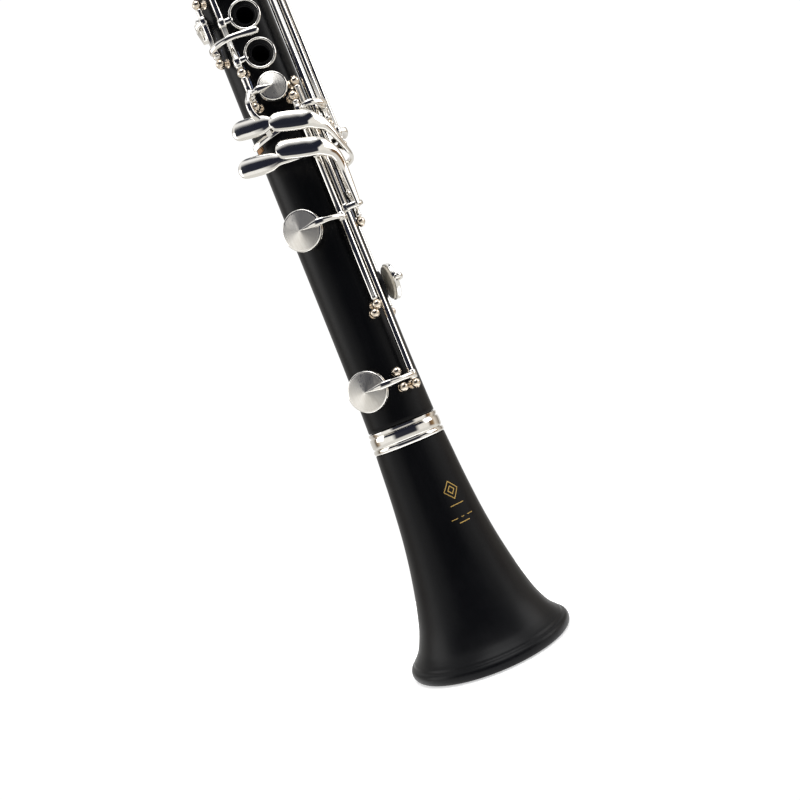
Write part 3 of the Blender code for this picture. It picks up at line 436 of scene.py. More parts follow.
def ranged(tree: bpy.types.NodeTree, value: bpy.types.NodeSocket, low: float, high: float,
           start: float = 0.35, end: float = 0.65) -> bpy.types.NodeSocket:
    """The value's stretch from start to end, spread from low to high."""
    spread = tree.nodes.new("ShaderNodeMapRange")
    for label, number in (("From Min", start), ("From Max", end), ("To Min", low), ("To Max", high)):
        spread.inputs[label].default_value = number
    tree.links.new(value, spread.inputs["Value"])
    return spread.outputs["Result"]


def maths(tree: bpy.types.NodeTree, operation: str,
          *values: float | bpy.types.NodeSocket) -> bpy.types.NodeSocket:
    """The result of one sum on numbers and sockets."""
    made = tree.nodes.new("ShaderNodeMath")
    made.operation = operation
    for socket, value in zip(made.inputs, values):
        if isinstance(value, bpy.types.NodeSocket):
            tree.links.new(value, socket)
        else:
            socket.default_value = value
    return made.outputs["Value"]


def handling() -> bpy.types.NodeTree:
    """Soft cloudy patches from handling, with fine wipe marks along the bore."""

    def fill(tree: bpy.types.NodeTree, given: bpy.types.Node, out: bpy.types.Node) -> None:
        """Joins broad patches and fine lines into one mask and one height."""
        patches = stretched_noise(tree, (1, 1, 0.5), 90)
        lines = stretched_noise(tree, (1, 1, 0.03), 1400, 1)
        mixed = maths(tree, "MULTIPLY_ADD", ranged(tree, lines, 0, 1), given.outputs["Lines"],
                      ranged(tree, patches, 0, 0.6))
        tree.links.new(mixed, out.inputs["Mask"])
        tree.links.new(lines, out.inputs["Height"])

    return group("handling", "Lines", 0.4, fill)


def speckle() -> bpy.types.NodeTree:
    """Small dark grains on a pale ground, as in cork and leather."""

    def fill(tree: bpy.types.NodeTree, given: bpy.types.Node, out: bpy.types.Node) -> None:
        """Cells give the grains and noise gives their shades."""
        where = tree.nodes.new("ShaderNodeTexCoord")
        cells = tree.nodes.new("ShaderNodeTexVoronoi")
        tree.links.new(given.outputs["Scale"], cells.inputs["Scale"])
        tree.links.new(where.outputs["Object"], cells.inputs["Vector"])
        grains = ranged(tree, cells.outputs["Distance"], 1, 0, 0.0, 0.6)
        shades = ranged(tree, stretched_noise(tree, (1, 1, 1), 700), 0.3, 1)
        mixed = maths(tree, "MULTIPLY", grains, shades)
        for label in ("Mask", "Height"):
            tree.links.new(mixed, out.inputs[label])

    return group("speckle", "Scale", 900.0, fill)


# ---------------------------------------------------------------- finishes
Colour = tuple[float, float, float]


@dataclass(frozen=True)
class Finish:
    """A surface: two colours and two roughnesses that a mask moves between, and a fine relief."""

    name: str
    slot: Slot
    colour: Colour
    marked: Colour
    roughness: float
    rougher: float
    metallic: float = 0.0
    relief: float = 0.0
    effect: Callable[[], bpy.types.NodeTree] = handling
    value: float = 0.4
    specular: float = 0.5
    coat: float = 0.0
    spun: float = 0.0

    def material(self) -> bpy.types.Material:
        """The material, made the first time it is asked for."""
        found = bpy.data.materials.get(self.name)
        if found:
            return found
        made = bpy.data.materials.new(self.name)
        made.use_nodes = True
        tree = made.node_tree
        shader = tree.nodes["Principled BSDF"]
        shader.inputs["Specular IOR Level"].default_value = self.specular
        shader.inputs["Metallic"].default_value = self.metallic
        shader.inputs["Coat Weight"].default_value = self.coat
        shader.inputs["Coat Roughness"].default_value = 0.08
        marks = tree.nodes.new("ShaderNodeGroup")
        marks.node_tree = self.effect()
        marks.inputs[0].default_value = self.value
        colours = tree.nodes.new("ShaderNodeMix")
        colours.data_type = "RGBA"
        colours.inputs[6].default_value = (*self.colour, 1)
        colours.inputs[7].default_value = (*self.marked, 1)
        tree.links.new(marks.outputs["Mask"], colours.inputs[0])
        tree.links.new(colours.outputs[2], shader.inputs["Base Color"])
        rough = ranged(tree, marks.outputs["Mask"], self.roughness, self.rougher, 0, 1)
        tree.links.new(rough, shader.inputs["Roughness"])
        if self.relief:
            bump = tree.nodes.new("ShaderNodeBump")
            bump.inputs["Distance"].default_value = self.relief * MM
            bump.inputs["Strength"].default_value = 1.0
            tree.links.new(marks.outputs["Height"], bump.inputs["Height"])
            tree.links.new(bump.outputs["Normal"], shader.inputs["Normal"])
        if self.spun:
            self.spin(tree, shader)
        return made

    def spin(self, tree: bpy.types.NodeTree, shader: bpy.types.Node) -> None:
        """Stretches the gloss across the circles that a lathe tool leaves."""
        shader.inputs["Anisotropic"].default_value = self.spun
        tangent = tree.nodes.new("ShaderNodeTangent")
        tangent.direction_type = "UV_MAP"
        tangent.uv_map = TURNING
        tree.links.new(tangent.outputs["Tangent"], shader.inputs["Tangent"])


RESIN = Finish("matt_black_resin", Slot.BODY, (0.0016, 0.0018, 0.0026), (0.0030, 0.0032, 0.0042),
               0.33, 0.40, relief=0.0015, specular=0.16)
MIRROR_NICKEL = Finish("polished_nickel", Slot.PLATE, (0.93, 0.91, 0.87), (0.86, 0.83, 0.78),
                       0.045, 0.12, metallic=1.0, value=0.2)
SATIN_NICKEL = Finish("spun_nickel", Slot.PLATE, (0.90, 0.88, 0.84), (0.80, 0.77, 0.72), 0.24, 0.34,
                      metallic=1.0, value=0.5, spun=0.85)
WARM_NICKEL = Finish("turned_nickel_silver", Slot.STEEL, (0.88, 0.80, 0.70), (0.70, 0.60, 0.48),
                     0.10, 0.22, metallic=1.0, value=0.5)
BLUED_STEEL = Finish("blued_spring_steel", Slot.STEEL, (0.10, 0.13, 0.22), (0.20, 0.20, 0.24),
                     0.22, 0.35, metallic=1.0)
CORK = Finish("sheet_cork", Slot.CORK, (0.55, 0.30, 0.14), (0.22, 0.10, 0.045), 0.85, 0.95,
              relief=0.06, effect=speckle, value=900.0)
SKIN = Finish("fish_skin", Slot.SKIN, (0.86, 0.79, 0.66), (0.74, 0.66, 0.50), 0.42, 0.62,
              relief=0.02, effect=speckle, value=500.0)
EBONITE = Finish("hard_rubber", Slot.EBONITE, (0.006, 0.006, 0.0065), (0.012, 0.012, 0.012),
                 0.12, 0.28, relief=0.002, coat=0.3)
CANE = Finish("reed_cane", Slot.CANE, (0.80, 0.62, 0.30), (0.56, 0.38, 0.15), 0.45, 0.62, relief=0.03,
              value=1.0)
GILT = Finish("gilt_mark", Slot.BODY, (0.62, 0.42, 0.13), (0.48, 0.31, 0.09), 0.35, 0.5, metallic=0.7)


def piece(name: str, shape: Shape, finish: Finish, body: str = ROOT, stands_for: Iterable[str] = (),
          sharp: float = 42.0) -> bpy.types.Object:
    """Makes a shape into a finished piece.

    Args:
        name: the piece's name.
        shape: its shape, which is used up.
        finish: its surface.
        body: the moving body that it rides on.
        stands_for: the nodes that it replaces.
        sharp: edges over this angle in degrees stay crisp.

    Returns:
        The object.
    """
    made = plain_object(name, shape)
    made.data.materials.append(finish.material())
    made.data.shade_smooth()
    made.data.set_sharp_from_angle(angle=math.radians(sharp))
    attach(made, body)
    nodes = list(stands_for)
    if nodes:
        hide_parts(*nodes)
    LOG.info("%s on %s: %d faces", name, body, len(made.data.polygons))
    return made


# ---------------------------------------------------------------- the instrument's sizes
BELL_TOP = 109.7
LOWER_FOOT = 110.0
LOWER_HEAD = 347.0
UPPER_FOOT = 347.3
UPPER_HEAD = 537.0
BARREL_FOOT = 537.3
BARREL_HEAD = 602.0
MOUTHPIECE_FOOT = 602.3
TIP = 676.0
BORE = 7.4
TENON = 10.8
TENON_GROOVE = 9.8
SOCKET = 11.6
GAP = 0.3
POST_BALL = 2.15
POST_REACH = 2.25
KEY_TUBE = 1.45
ROD = 0.85
UPPER_RADIUS = 14.0
UPPER_LINE = 17.4
VENT_TRAVEL = 1.0
HOLE_SHARE = 0.62
FINGER_HOLE = 3.8
TURNED_SIDES = 128


def lower_radius(height: float) -> float:
    """Outer radius of the lower joint in millimetres: widest at its foot, with a slow taper up."""
    share = max(0.0, 1 - (height - LOWER_FOOT) / 45)
    taper = (height - LOWER_FOOT) / 237.3
    return 15.2 - 0.4 * max(0.0, taper - 0.4) / 0.6 + 0.6 * share * share


def upper_radius(height: float) -> float:
    """Outer radius of the upper joint in millimetres, which is the same at every height."""
    return UPPER_RADIUS


@dataclass(frozen=True)
class Hinge:
    """A hinge line along the bore."""

    angle: float
    radius: float
    low: float
    high: float

    def ends(self) -> tuple[Vector, Vector]:
        """The two ends of its rod."""
        return (place(self.angle, self.radius, self.low), place(self.angle, self.radius, self.high))

    def swing(self, angle: float, travel: float) -> Matrix:
        """The turn that moves a pad at this angle out by the travel."""
        reach = self.radius * math.sin(math.radians(self.angle - angle))
        centre = Matrix.Translation(place(self.angle, self.radius, 0))
        return centre @ Matrix.Rotation(travel / reach, 4, "Z") @ centre.inverted()

    def tube(self, collars: Iterable[float] = ()) -> Shape:
        """The key's tube, with its end rings and a collar at each arm."""
        shape = Shape()
        low, high = self.low + POST_REACH, self.high - POST_REACH
        length = high - low
        ring, edge = KEY_TUBE + 0.12, KEY_TUBE - 0.12
        inner, wide = KEY_TUBE - 0.4, KEY_TUBE + 0.5
        upright = Matrix.Rotation(-math.pi / 2, 4, "X")
        profile = ((0, length), (edge, length), (ring, length - 0.3), (ring, length - 1.1),
                   (KEY_TUBE, length - 1.3), (KEY_TUBE, 1.3), (ring, 1.1), (ring, 0.3), (edge, 0),
                   (0, 0))
        shape.turn(profile, facing(self.angle, self.radius, low) @ upright, 20)
        collar = ((inner, 1.9), (wide - 0.3, 1.9), (wide, 1.4), (wide, -1.4), (wide - 0.3, -1.9),
                  (inner, -1.9))
        for z in collars:
            shape.turn(collar, facing(self.angle, self.radius, z) @ upright, 20, closed=True)
        return shape


@dataclass(frozen=True)
class Hole:
    """A tone hole with its cup and pad, drawn shut."""

    angle: float
    height: float
    cup: float
    body_radius: Callable[[float], float]
    cone: float = 1.8

    @property
    def seat(self) -> float:
        """Distance of the seat from the axis."""
        return self.body_radius(self.height) + 0.6

    @property
    def foot(self) -> float:
        """Distance of the cup's lip from the axis."""
        return self.seat + GAP + 1.1

    @property
    def top(self) -> float:
        """Distance of the cup's shoulder from the axis."""
        return self.seat + 2 * GAP + 3.0

    def at(self) -> Matrix:
        """Local axes with Z along the hole."""
        return facing(self.angle, 0, self.height)

    def chimney(self) -> Profile:
        """The raised seat round the hole."""
        inner = self.cup * HOLE_SHARE
        return ((inner, self.seat), (inner + 1.0, self.seat), (inner + 1.6, self.seat - 1.4),
                (inner + 1.6, self.seat - 5), (inner, self.seat - 5))

    def rim_spot(self, side: float, lift: float, width: float, thickness: float) -> Spot:
        """A section of an arm where it crosses the cup's rim on one side."""
        height = self.top + lift
        angle = self.angle + side * math.degrees(math.atan2(self.cup, height))
        return Spot(angle, math.hypot(self.cup, height), self.height, width, thickness, self.angle)

    def tip_spots(self, side: float, width: float) -> list[Spot]:
        """The last sections of an arm, which run in to a point at the middle of the cup."""
        half = self.cup * 0.5
        height = self.top + self.cone * 0.55
        angle = self.angle + side * math.degrees(math.atan2(half, height))
        middle = Spot(angle, math.hypot(half, height), self.height, width * 0.62, 1.3, self.angle)
        return [middle, Spot(self.angle, self.top + self.cone - 0.15, self.height, 0.35, 0.4, self.angle)]


class Keywork:
    """Makes keys, posts and pads the same way for both joints."""

    shortest_sprung = 14

    def cup(self, name: str, hole: Hole, body: str, turn: Matrix, pad_node: Iterable[str] = ()) -> None:
        """Makes a cup's polished shell, its spun face and its pad.

        Args:
            name: the key's name.
            hole: the hole that it covers.
            body: the moving body.
            turn: the key's turn from shut to its rest place.
            pad_node: the nodes that the pad replaces.
        """
        wide, top, foot = hole.cup, hole.top, hole.foot
        steps = 96 if wide > 7 else 64
        shell = ((wide - 0.75, top + 0.13), (wide - 0.3, top + 0.06), (wide - 0.06, top - 0.15),
                 (wide, top - 0.5), (wide - 0.08, top - 0.8), (wide - 0.08, foot + 0.7),
                 (wide + 0.05, foot + 0.45), (wide + 0.05, foot + 0.15), (wide - 0.1, foot),
                 (wide - 0.45, foot), (wide - 0.5, top - 0.6), (0.5, top - 0.6), (0.5, top - 0.1))
        polished = Shape().turn(shell, hole.at(), steps, closed=True).moved(turn)
        piece(f"{name}_cup_shell", polished, MIRROR_NICKEL, body)
        face = ((0, top + hole.cone), (0.5, top + hole.cone - 0.12), (wide - 0.8, top + 0.12),
                (wide - 0.8, top - 0.2), (0, top - 0.2))
        spun = Shape().turn(face, hole.at(), steps).moved(turn)
        piece(f"{name}_cup_face", spun, SATIN_NICKEL, body)
        pad, inner = wide - 0.65, wide * HOLE_SHARE
        low = hole.seat + GAP
        skin = ((0, top - 0.7), (pad, top - 0.7), (pad, low + 0.6), (pad - 0.3, low + 0.15),
                (pad - 0.9, low), (inner + 1.0, low + 0.02), (inner, low - 0.12), (0, low - 0.08))
        pad_shape = Shape().turn(skin, hole.at(), 64).moved(turn)
        piece(f"{name}_pad_skin", pad_shape, SKIN, body, pad_node)

    def posts(self, name: str, hinge: Hinge, body_radius: Callable[[float], float],
              between: Iterable[float] = ()) -> None:
        """Makes a hinge line's rod, its posts and their pivot screws.

        Args:
            name: the name of the piece and of the node that it replaces.
            hinge: the hinge line.
            body_radius: the joint's outer radius.
            between: heights of posts between the two ends.
        """
        shape = Shape().rod(*hinge.ends(), ROD)
        for z in (hinge.low, *between, hinge.high):
            self.post(shape, facing(hinge.angle, 0, z), hinge.radius, body_radius(z))
        screw = ((0.25, 0.62), (0.8, 0.62), (1.0, 0.45), (1.0, 0), (0.25, 0))
        for z, way in ((hinge.low, -1), (hinge.high, 1)):
            start = place(hinge.angle, hinge.radius, z + way * (POST_BALL - 0.5))
            end = place(hinge.angle, hinge.radius, z + way * (POST_BALL + 0.12))
            shape.turn(screw, along(start, end), 20, closed=True)
        piece(name, shape, WARM_NICKEL, ROOT, (name,))
        self.springs(name, hinge, body_radius)

    def post(self, shape: Shape, at: Matrix, hinge_radius: float, body_radius: float) -> None:
        """Adds a turned post: a ball, a waisted stem and a stepped flange."""
        foot = body_radius - 0.25
        ball = [(POST_BALL * math.sin(turn), hinge_radius + POST_BALL * math.cos(turn))
                for turn in [math.radians(18 * i) for i in range(9)]]
        waist = hinge_radius - POST_BALL * 1.02
        flange = ((0.72, (waist + foot + 0.7) / 2), (0.9, foot + 0.95), (1.25, foot + 0.85),
                  (1.3, foot + 0.65), (1.9, foot + 0.55), (2.0, foot + 0.35), (2.0, foot), (0, foot))
        shape.turn((*ball, (0.85, waist), *flange), at, 28)

    def springs(self, name: str, hinge: Hinge, body_radius: Callable[[float], float]) -> None:
        """Makes the needle spring of a hinge line, from its lower post to a catch on the tube."""
        if hinge.high - hinge.low < self.shortest_sprung:
            return
        low, lean = hinge.low, hinge.angle
        reach = min(26.0, (hinge.high - low) * 0.55)
        middle = (hinge.radius - KEY_TUBE + body_radius(low)) / 2
        wire = [Spot(lean + 1.5, middle, low, 0.42, 0.42),
                Spot(lean + 3.5, middle, low + reach * 0.5, 0.36, 0.36),
                Spot(lean + 3.0, middle + 0.3, low + reach, 0.26, 0.26)]
        spring = name.replace("rod_and_posts", "needle_spring").replace("saddle_and_rods", "needle_springs")
        piece(spring, Shape().sweep(wire, 8, 4, 2.0), BLUED_STEEL)


def arm(hinge: Hinge, hole: Hole, lift: float = 0.9, width: float = 2.3,
        crown: float = 0.0) -> list[Spot]:
    """The sections of a cup arm, from its tube to the point of its cup.

    Args:
        hinge: the key's hinge.
        hole: the hole that the cup covers.
        lift: clearance of the arm's middle over the cup's rim, in millimetres.
        width: the arm's width in millimetres.
        crown: extra height of the middle of a long arm.

    Returns:
        Its sections.
    """
    side = 1 if hinge.angle > hole.angle else -1
    rim = hole.rim_spot(side, lift, width * 1.35, 1.5)
    start = Spot(hinge.angle, hinge.radius + 0.9, hole.height, width * 1.1, 1.8)
    spots = [start]
    for share in (0.3, 0.62):
        angle = hinge.angle + (rim.angle - hinge.angle) * share
        radius = (start.radius + (rim.radius - start.radius) * share
                  + crown * math.sin(math.pi * share))
        spots.append(Spot(angle, radius, hole.height, width, 1.7))
    return [*spots, rim, *hole.tip_spots(side, width * 1.35)]


# ---------------------------------------------------------------- bell
@dataclass
class Bell:
    """The bell, its ring and its small gilt mark."""

    flare: Profile = ((16.5, 99.6), (17.0, 92.0), (17.6, 82.0), (18.4, 72.0), (19.6, 60.0), (21.3, 48.0),
                      (23.4, 36.8), (25.4, 28.0), (28.0, 18.9), (31.2, 11.6), (33.6, 8.2), (35.2, 6.6))
    lining: Profile = ((34.4, 0.6), (31.6, 3.4), (27.2, 9.4), (23.2, 18.0), (19.6, 30.0), (16.2, 50.0),
                       (13.4, 72.0), (10.6, 92.0))
    ring_foot: float = 99.9
    mark_angle: float = 20.0
    mark_height: float = 75.0

    def outline(self) -> list[tuple[float, float]]:
        """The bell's section, from its socket down the flare, round the rim and up the lining."""
        bead = [(35.45 + 2.35 * math.sin(turn), 2.75 + 2.75 * math.cos(turn))
                for turn in [math.radians(degrees) for degrees in range(12, 181, 14)]]
        return [(15.0, BELL_TOP), (15.0, 99.8), *through(self.flare, 5), (35.45, 6.1), *bead,
                *through(self.lining, 4), (SOCKET, 92.4), (SOCKET, BELL_TOP)]

    def radius(self, height: float) -> float:
        """Outer radius of the flare at a height."""
        rows = through(self.flare, 5)
        for (upper, high), (lower, low) in zip(rows, rows[1:]):
            if low <= height <= high:
                return lower + (upper - lower) * (height - low) / (high - low)
        return rows[0][0]

    def build(self) -> None:
        """Makes the bell, its ring and its mark."""
        bell = Shape().turn(self.outline(), steps=160, closed=True)
        piece("bell_turned", bell, RESIN, ROOT, ("bell",))
        low, high = self.ring_foot, BELL_TOP
        band = ((15.3, high), (15.9, high), (16.25, high - 0.25), (16.32, high - 0.9),
                (16.2, high - 1.6), (15.75, high - 1.85), (15.8, high - 2.15), (16.4, high - 2.4),
                (16.62, high - 3.2), (16.66, high - 4.6), (16.6, low + 3.2), (16.4, low + 2.8),
                (15.9, low + 2.65), (15.9, low + 2.4), (16.55, low + 2.2), (16.82, low + 1.6),
                (16.84, low + 0.9), (16.6, low + 0.25), (16.2, low), (15.3, low))
        ring = Shape().turn(band, steps=TURNED_SIDES, closed=True)
        piece("bell_ring_turned", ring, MIRROR_NICKEL, ROOT, ("bell_ring",))
        self.build_mark()

    def build_mark(self) -> None:
        """Makes a plain lozenge over three short bars, let into the flare."""
        shape = Shape()
        corners = [(0, 4), (3.6, 0), (0, -4), (-3.6, 0), (0, 4)]
        inner = [(x * 0.45, z * 0.45) for x, z in corners]
        lines = [*zip(corners, corners[1:]), *zip(inner, inner[1:])]
        lines += [((-half, z), (half, z)) for half, z in ((3.4, -6.6), (5.6, -12.4), (2.6, -14.6))]
        for start, end in lines:
            shape.sweep([self.mark_spot(*start), self.mark_spot(*end)], 6, 4, 4.0)
        piece("gilt_lozenge", shape, GILT)

    def mark_spot(self, across: float, height: float) -> Spot:
        """A section of a gilt line on the flare, from the middle of the mark."""
        height += self.mark_height
        radius = self.radius(height)
        return Spot(self.mark_angle + math.degrees(across / radius), radius, height, 0.42, 0.09)


# ---------------------------------------------------------------- joints
RING_HEIGHT = 1.0
FINGER_CHIMNEY = 2.4


@dataclass
class Joint:
    """A joint's tube with its tone holes and chimneys."""

    name: str
    body_radius: Callable[[float], float]
    outline: Profile
    holes: Sequence[Hole]
    fingers: Sequence[tuple[float, float]]

    def build(self) -> None:
        """Makes the drilled tube and the chimneys."""
        tube = Shape().turn(self.outline, steps=TURNED_SIDES, closed=True)
        drills, chimneys = Shape(), Shape()
        for hole in self.holes:
            self.drill(drills, hole.angle, hole.height, hole.cup * HOLE_SHARE)
            chimneys.turn(hole.chimney(), hole.at(), 48, 0.12, closed=True)
        for angle, z in self.fingers:
            self.drill(drills, angle, z, FINGER_HOLE)
            top = self.body_radius(z) + FINGER_CHIMNEY
            wall = ((FINGER_HOLE, top - 0.3), (4.1, top), (4.5, top), (4.8, top - 0.3),
                    (5.0, top - 3.2), (5.0, top - 6), (FINGER_HOLE, top - 6))
            chimneys.turn(wall, facing(angle, 0, z), 48, closed=True)
        piece(f"{self.name}_tube", bored(tube, drills), RESIN, ROOT, (self.name,))
        piece(f"{self.name}_tone_hole_rims", chimneys, RESIN)

    def drill(self, tools: Shape, angle: float, height: float, radius: float) -> None:
        """Adds the tool that drills one tone hole."""
        tools.rod(place(angle, 2.5, height), place(angle, 22, height), radius, 40, 0)


def tenon_down(foot: float, length: float) -> list[tuple[float, float]]:
    """The outer side of a tenon below the shoulder at foot, with the groove for its cork."""
    return [(TENON, foot), (TENON, foot - 2), (TENON_GROOVE, foot - 2), (TENON_GROOVE, foot - 11),
            (TENON, foot - 11), (TENON, foot - length + 0.5), (TENON - 0.5, foot - length)]


def cork_sleeve(node: str, low: float) -> None:
    """Makes the cork round a tenon, from the height low up."""
    inner, outer = 10.1, SOCKET - 0.3
    profile = ((outer, low + 8.4), (outer, low + 0.6), (SOCKET - 0.6, low + 0.3), (inner, low + 0.3),
               (inner, low + 8.7), (SOCKET - 0.6, low + 8.7))
    piece(f"{node}_sleeve", Shape().turn(profile, steps=96, closed=True), CORK, ROOT, (node,))


def metal_band(node: str, radius: float, low: float, high: float) -> None:
    """Makes a band with a shallow groove let into the end of a body."""
    outer = radius + 0.3
    middle = (low + high) / 2
    profile = ((outer - 0.5, high), (outer - 0.12, high - 0.15), (outer, high - 0.5),
               (outer, middle + 0.35), (outer - 0.2, middle + 0.2), (outer - 0.2, middle - 0.2),
               (outer, middle - 0.35), (outer, low + 0.5), (outer - 0.12, low + 0.15),
               (outer - 0.5, low), (radius - 0.8, low), (radius - 0.8, high))
    band = Shape().turn(profile, steps=TURNED_SIDES, closed=True)
    piece(f"{node}_turned", band, MIRROR_NICKEL, ROOT, (node,))


def finger_ring(shape: Shape, angle: float, height: float, hinge: Hinge, body_radius: float) -> None:
    """Adds the ring round a finger hole, and its arm.

    Args:
        shape: the key that gets the ring.
        angle: angle of the finger hole round the bore.
        height: height of the finger hole.
        hinge: the key's hinge.
        body_radius: the joint's outer radius there.
    """
    low = body_radius + RING_HEIGHT
    section = [(6.4 + 0.62 * math.cos(turn), low + 0.7 + 0.72 * math.sin(turn))
               for turn in [math.tau * i / 12 for i in range(12)]]
    shape.turn(section, facing(angle, 0, height), 64, closed=True)
    side = 1 if hinge.angle > angle else -1
    rim = low + 0.7
    end = angle + side * math.degrees(math.atan2(6.6, rim))
    middle = (hinge.angle + end) / 2
    shape.sweep([Spot(hinge.angle, hinge.radius, height, 3.0, 1.8),
                 Spot(middle, hinge.radius - 0.1, height, 2.6, 1.5),
                 Spot(end, math.hypot(6.4, rim), height, 2.4, 1.3)], 12, 4)


# ---------------------------------------------------------------- lower joint keys
FRONT_FACE = 0.0
LEFT_FACE = -32.0
SLOPE = -12.0
PITCH = 7.0
TOUCH_SWEEP = (32, 6, 2.4)


@dataclass
class LowerKeys(Keywork):
    """The keys, levers and rings of the lower joint."""

    low_e: Hinge = Hinge(31.3, 18.6, 124.0, 266.0)
    low_f: Hinge = Hinge(20.0, 18.6, 162.0, 259.5)
    low_f_sharp: Hinge = Hinge(118.0, 18.6, 159.0, 259.5)
    lever_e: Hinge = Hinge(48.0, 19.2, 199.0, 330.0)
    lever_f: Hinge = Hinge(62.0, 20.8, 245.0, 325.0)
    lever_f_sharp: Hinge = Hinge(77.0, 22.0, 236.0, 320.0)
    g_sharp: Hinge = Hinge(-34.0, 18.6, 260.5, 276.5)
    rings: Hinge = Hinge(-34.0, 18.6, 276.5, 338.0)
    cross: Hinge = Hinge(-64.0, 18.6, 286.0, 314.0)
    hole_e: Hole = Hole(-39, 128, 9.2, lower_radius)
    hole_f: Hole = Hole(-39, 203, 9.2, lower_radius)
    hole_f_sharp: Hole = Hole(85, 171, 8.5, lower_radius)
    hole_g_sharp: Hole = Hole(-2, 266, 6.5, lower_radius, 1.4)
    hole_cross: Hole = Hole(-92, 306, 5.5, lower_radius, 1.4)
    hole_vent: Hole = Hole(-8, 327.5, 4.2, lower_radius, 1.0)
    fingers: tuple[float, ...] = (281.5, 299.5, 316.5)
    travel: float = 2.3
    far_travel: float = 1.5

    def holes(self) -> list[Hole]:
        """Every padded hole of the joint."""
        return [self.hole_e, self.hole_f, self.hole_f_sharp, self.hole_g_sharp, self.hole_cross,
                self.hole_vent]

    def build(self) -> None:
        """Makes the joint and its keys."""
        head = LOWER_HEAD - 4.3
        heights = (head, 320, 280, 240, 205, 180, 155, 145, 135, 125, 118, 112, 110.4)
        side = [(lower_radius(z), z) for z in heights]
        outline = [(13.7, LOWER_HEAD), (13.7, head), *side, (15.5, LOWER_FOOT),
                   *tenon_down(LOWER_FOOT, 17.0), (BORE, LOWER_FOOT - 17.0), (BORE, 332.7),
                   (SOCKET, 332.7), (SOCKET, LOWER_HEAD)]
        Joint("lower_joint", lower_radius, outline, self.holes(), [(0, z) for z in self.fingers]).build()
        metal_band("lower_joint_ring", 14.8, LOWER_HEAD - 4, LOWER_HEAD)
        cork_sleeve("bell_tenon_cork", LOWER_FOOT - 11)
        self.build_low_e()
        self.build_low_f()
        self.build_low_f_sharp()
        self.build_studs()
        self.build_g_sharp()
        self.build_rings()
        self.build_cross()
        self.build_levers()
        self.build_thumb_rest()

    def touch(self, face: float, radius: float, height: float,
              cuts: Iterable[tuple[float, float, float]]) -> list[Spot]:
        """The sections of a little finger touch on its sloping plane.

        Args:
            face: the angle that the plane faces.
            radius: distance of the plane from the bore.
            height: height of the plane's origin.
            cuts: distance along the plane, width and thickness of each section.

        Returns:
            The sections.
        """
        at = facing(face, radius, height, SLOPE)
        return [on_plane(at, *cut, face, PITCH) for cut in cuts]

    def build_low_e(self) -> None:
        """The low E key: a long tube, an offset stem and the lower front touch."""
        hinge, hole = self.low_e, self.hole_e
        turn = hinge.swing(hole.angle, self.travel)
        shape = Shape().sweep(arm(hinge, hole)).moved(turn).join(hinge.tube((128.0, 206.0)))
        plate = self.touch(FRONT_FACE, 26.6, 234.1, ((-7.1, 8.8, 3.3), (-3.0, 9.2, 3.5), (2.0, 9.0, 3.5),
                                                     (6.5, 8.4, 3.4)))
        bend = [Spot(20.5, 26.9, 231.4, 7.4, 3.2, 12), Spot(28.5, 26.0, 229.6, 6.4, 3.0, 24),
                Spot(34.5, 25.1, 226.4, 5.6, 2.8, 32), Spot(38.0, 24.3, 222.2, 5.0, 2.6, 38),
                Spot(40.0, 23.7, 216.0, 4.5, 2.4, 40), Spot(41.0, 23.3, 209.6, 3.6, 2.2, 41),
                Spot(41.0, 23.1, 205.8, 2.8, 2.0, 41)]
        shape.sweep([*plate, *bend], *TOUCH_SWEEP)
        shape.sweep([Spot(31.3, 20.2, 206.0, 3.0, 1.7), Spot(37.0, 22.4, 206.0, 2.8, 1.7),
                     Spot(44.0, 23.2, 206.2, 2.6, 1.7), Spot(49.0, 23.0, 206.6, 2.4, 1.5)], 12, 4)
        piece("low_e_key_metal", shape, MIRROR_NICKEL, "low_e_key", ("low_e_key",))
        self.cup("low_e", hole, "low_e_key", turn, ("low_e_pad",))
        self.posts("low_e_rod_and_posts", hinge, lower_radius)

    def build_low_f(self) -> None:
        """The low F key: its touch lies to the left, under the front touches."""
        hinge, hole = self.low_f, self.hole_f
        turn = hinge.swing(hole.angle, self.travel)
        shape = Shape().sweep(arm(hinge, hole))
        shape.sweep([Spot(20.0, 19.6, 253.0, 2.8, 1.8), Spot(20.8, 23.2, 253.0, 2.6, 1.6),
                     Spot(27.0, 25.4, 253.0, 2.8, 1.6), Spot(38.0, 26.0, 253.0, 3.0, 1.5),
                     Spot(46.5, 26.2, 253.0, 2.8, 1.4)], 12, 4)
        shape.moved(turn).join(hinge.tube((203.0, 232.5, 253.0)))
        plate = self.touch(LEFT_FACE, 20.6, 235.1, ((-14.9, 8.8, 3.2), (-11.0, 9.1, 3.4), (-6.5, 8.9, 3.4),
                                                    (-2.0, 7.8, 3.0), (2.0, 5.0, 2.3)))
        stem = [Spot(-14.0, 20.9, 233.3, 3.4, 1.9, -20), Spot(0.0, 20.8, 232.8, 2.8, 1.8),
                Spot(12.0, 20.6, 232.5, 2.8, 1.8), Spot(20.0, 19.8, 232.5, 3.0, 1.8)]
        shape.sweep([*plate, *stem], *TOUCH_SWEEP)
        piece("low_f_key_metal", shape, MIRROR_NICKEL, "low_f_key", ("low_f_key",))
        self.cup("low_f", hole, "low_f_key", turn, ("low_f_pad",))
        self.posts("low_f_rod_and_posts", hinge, lower_radius)

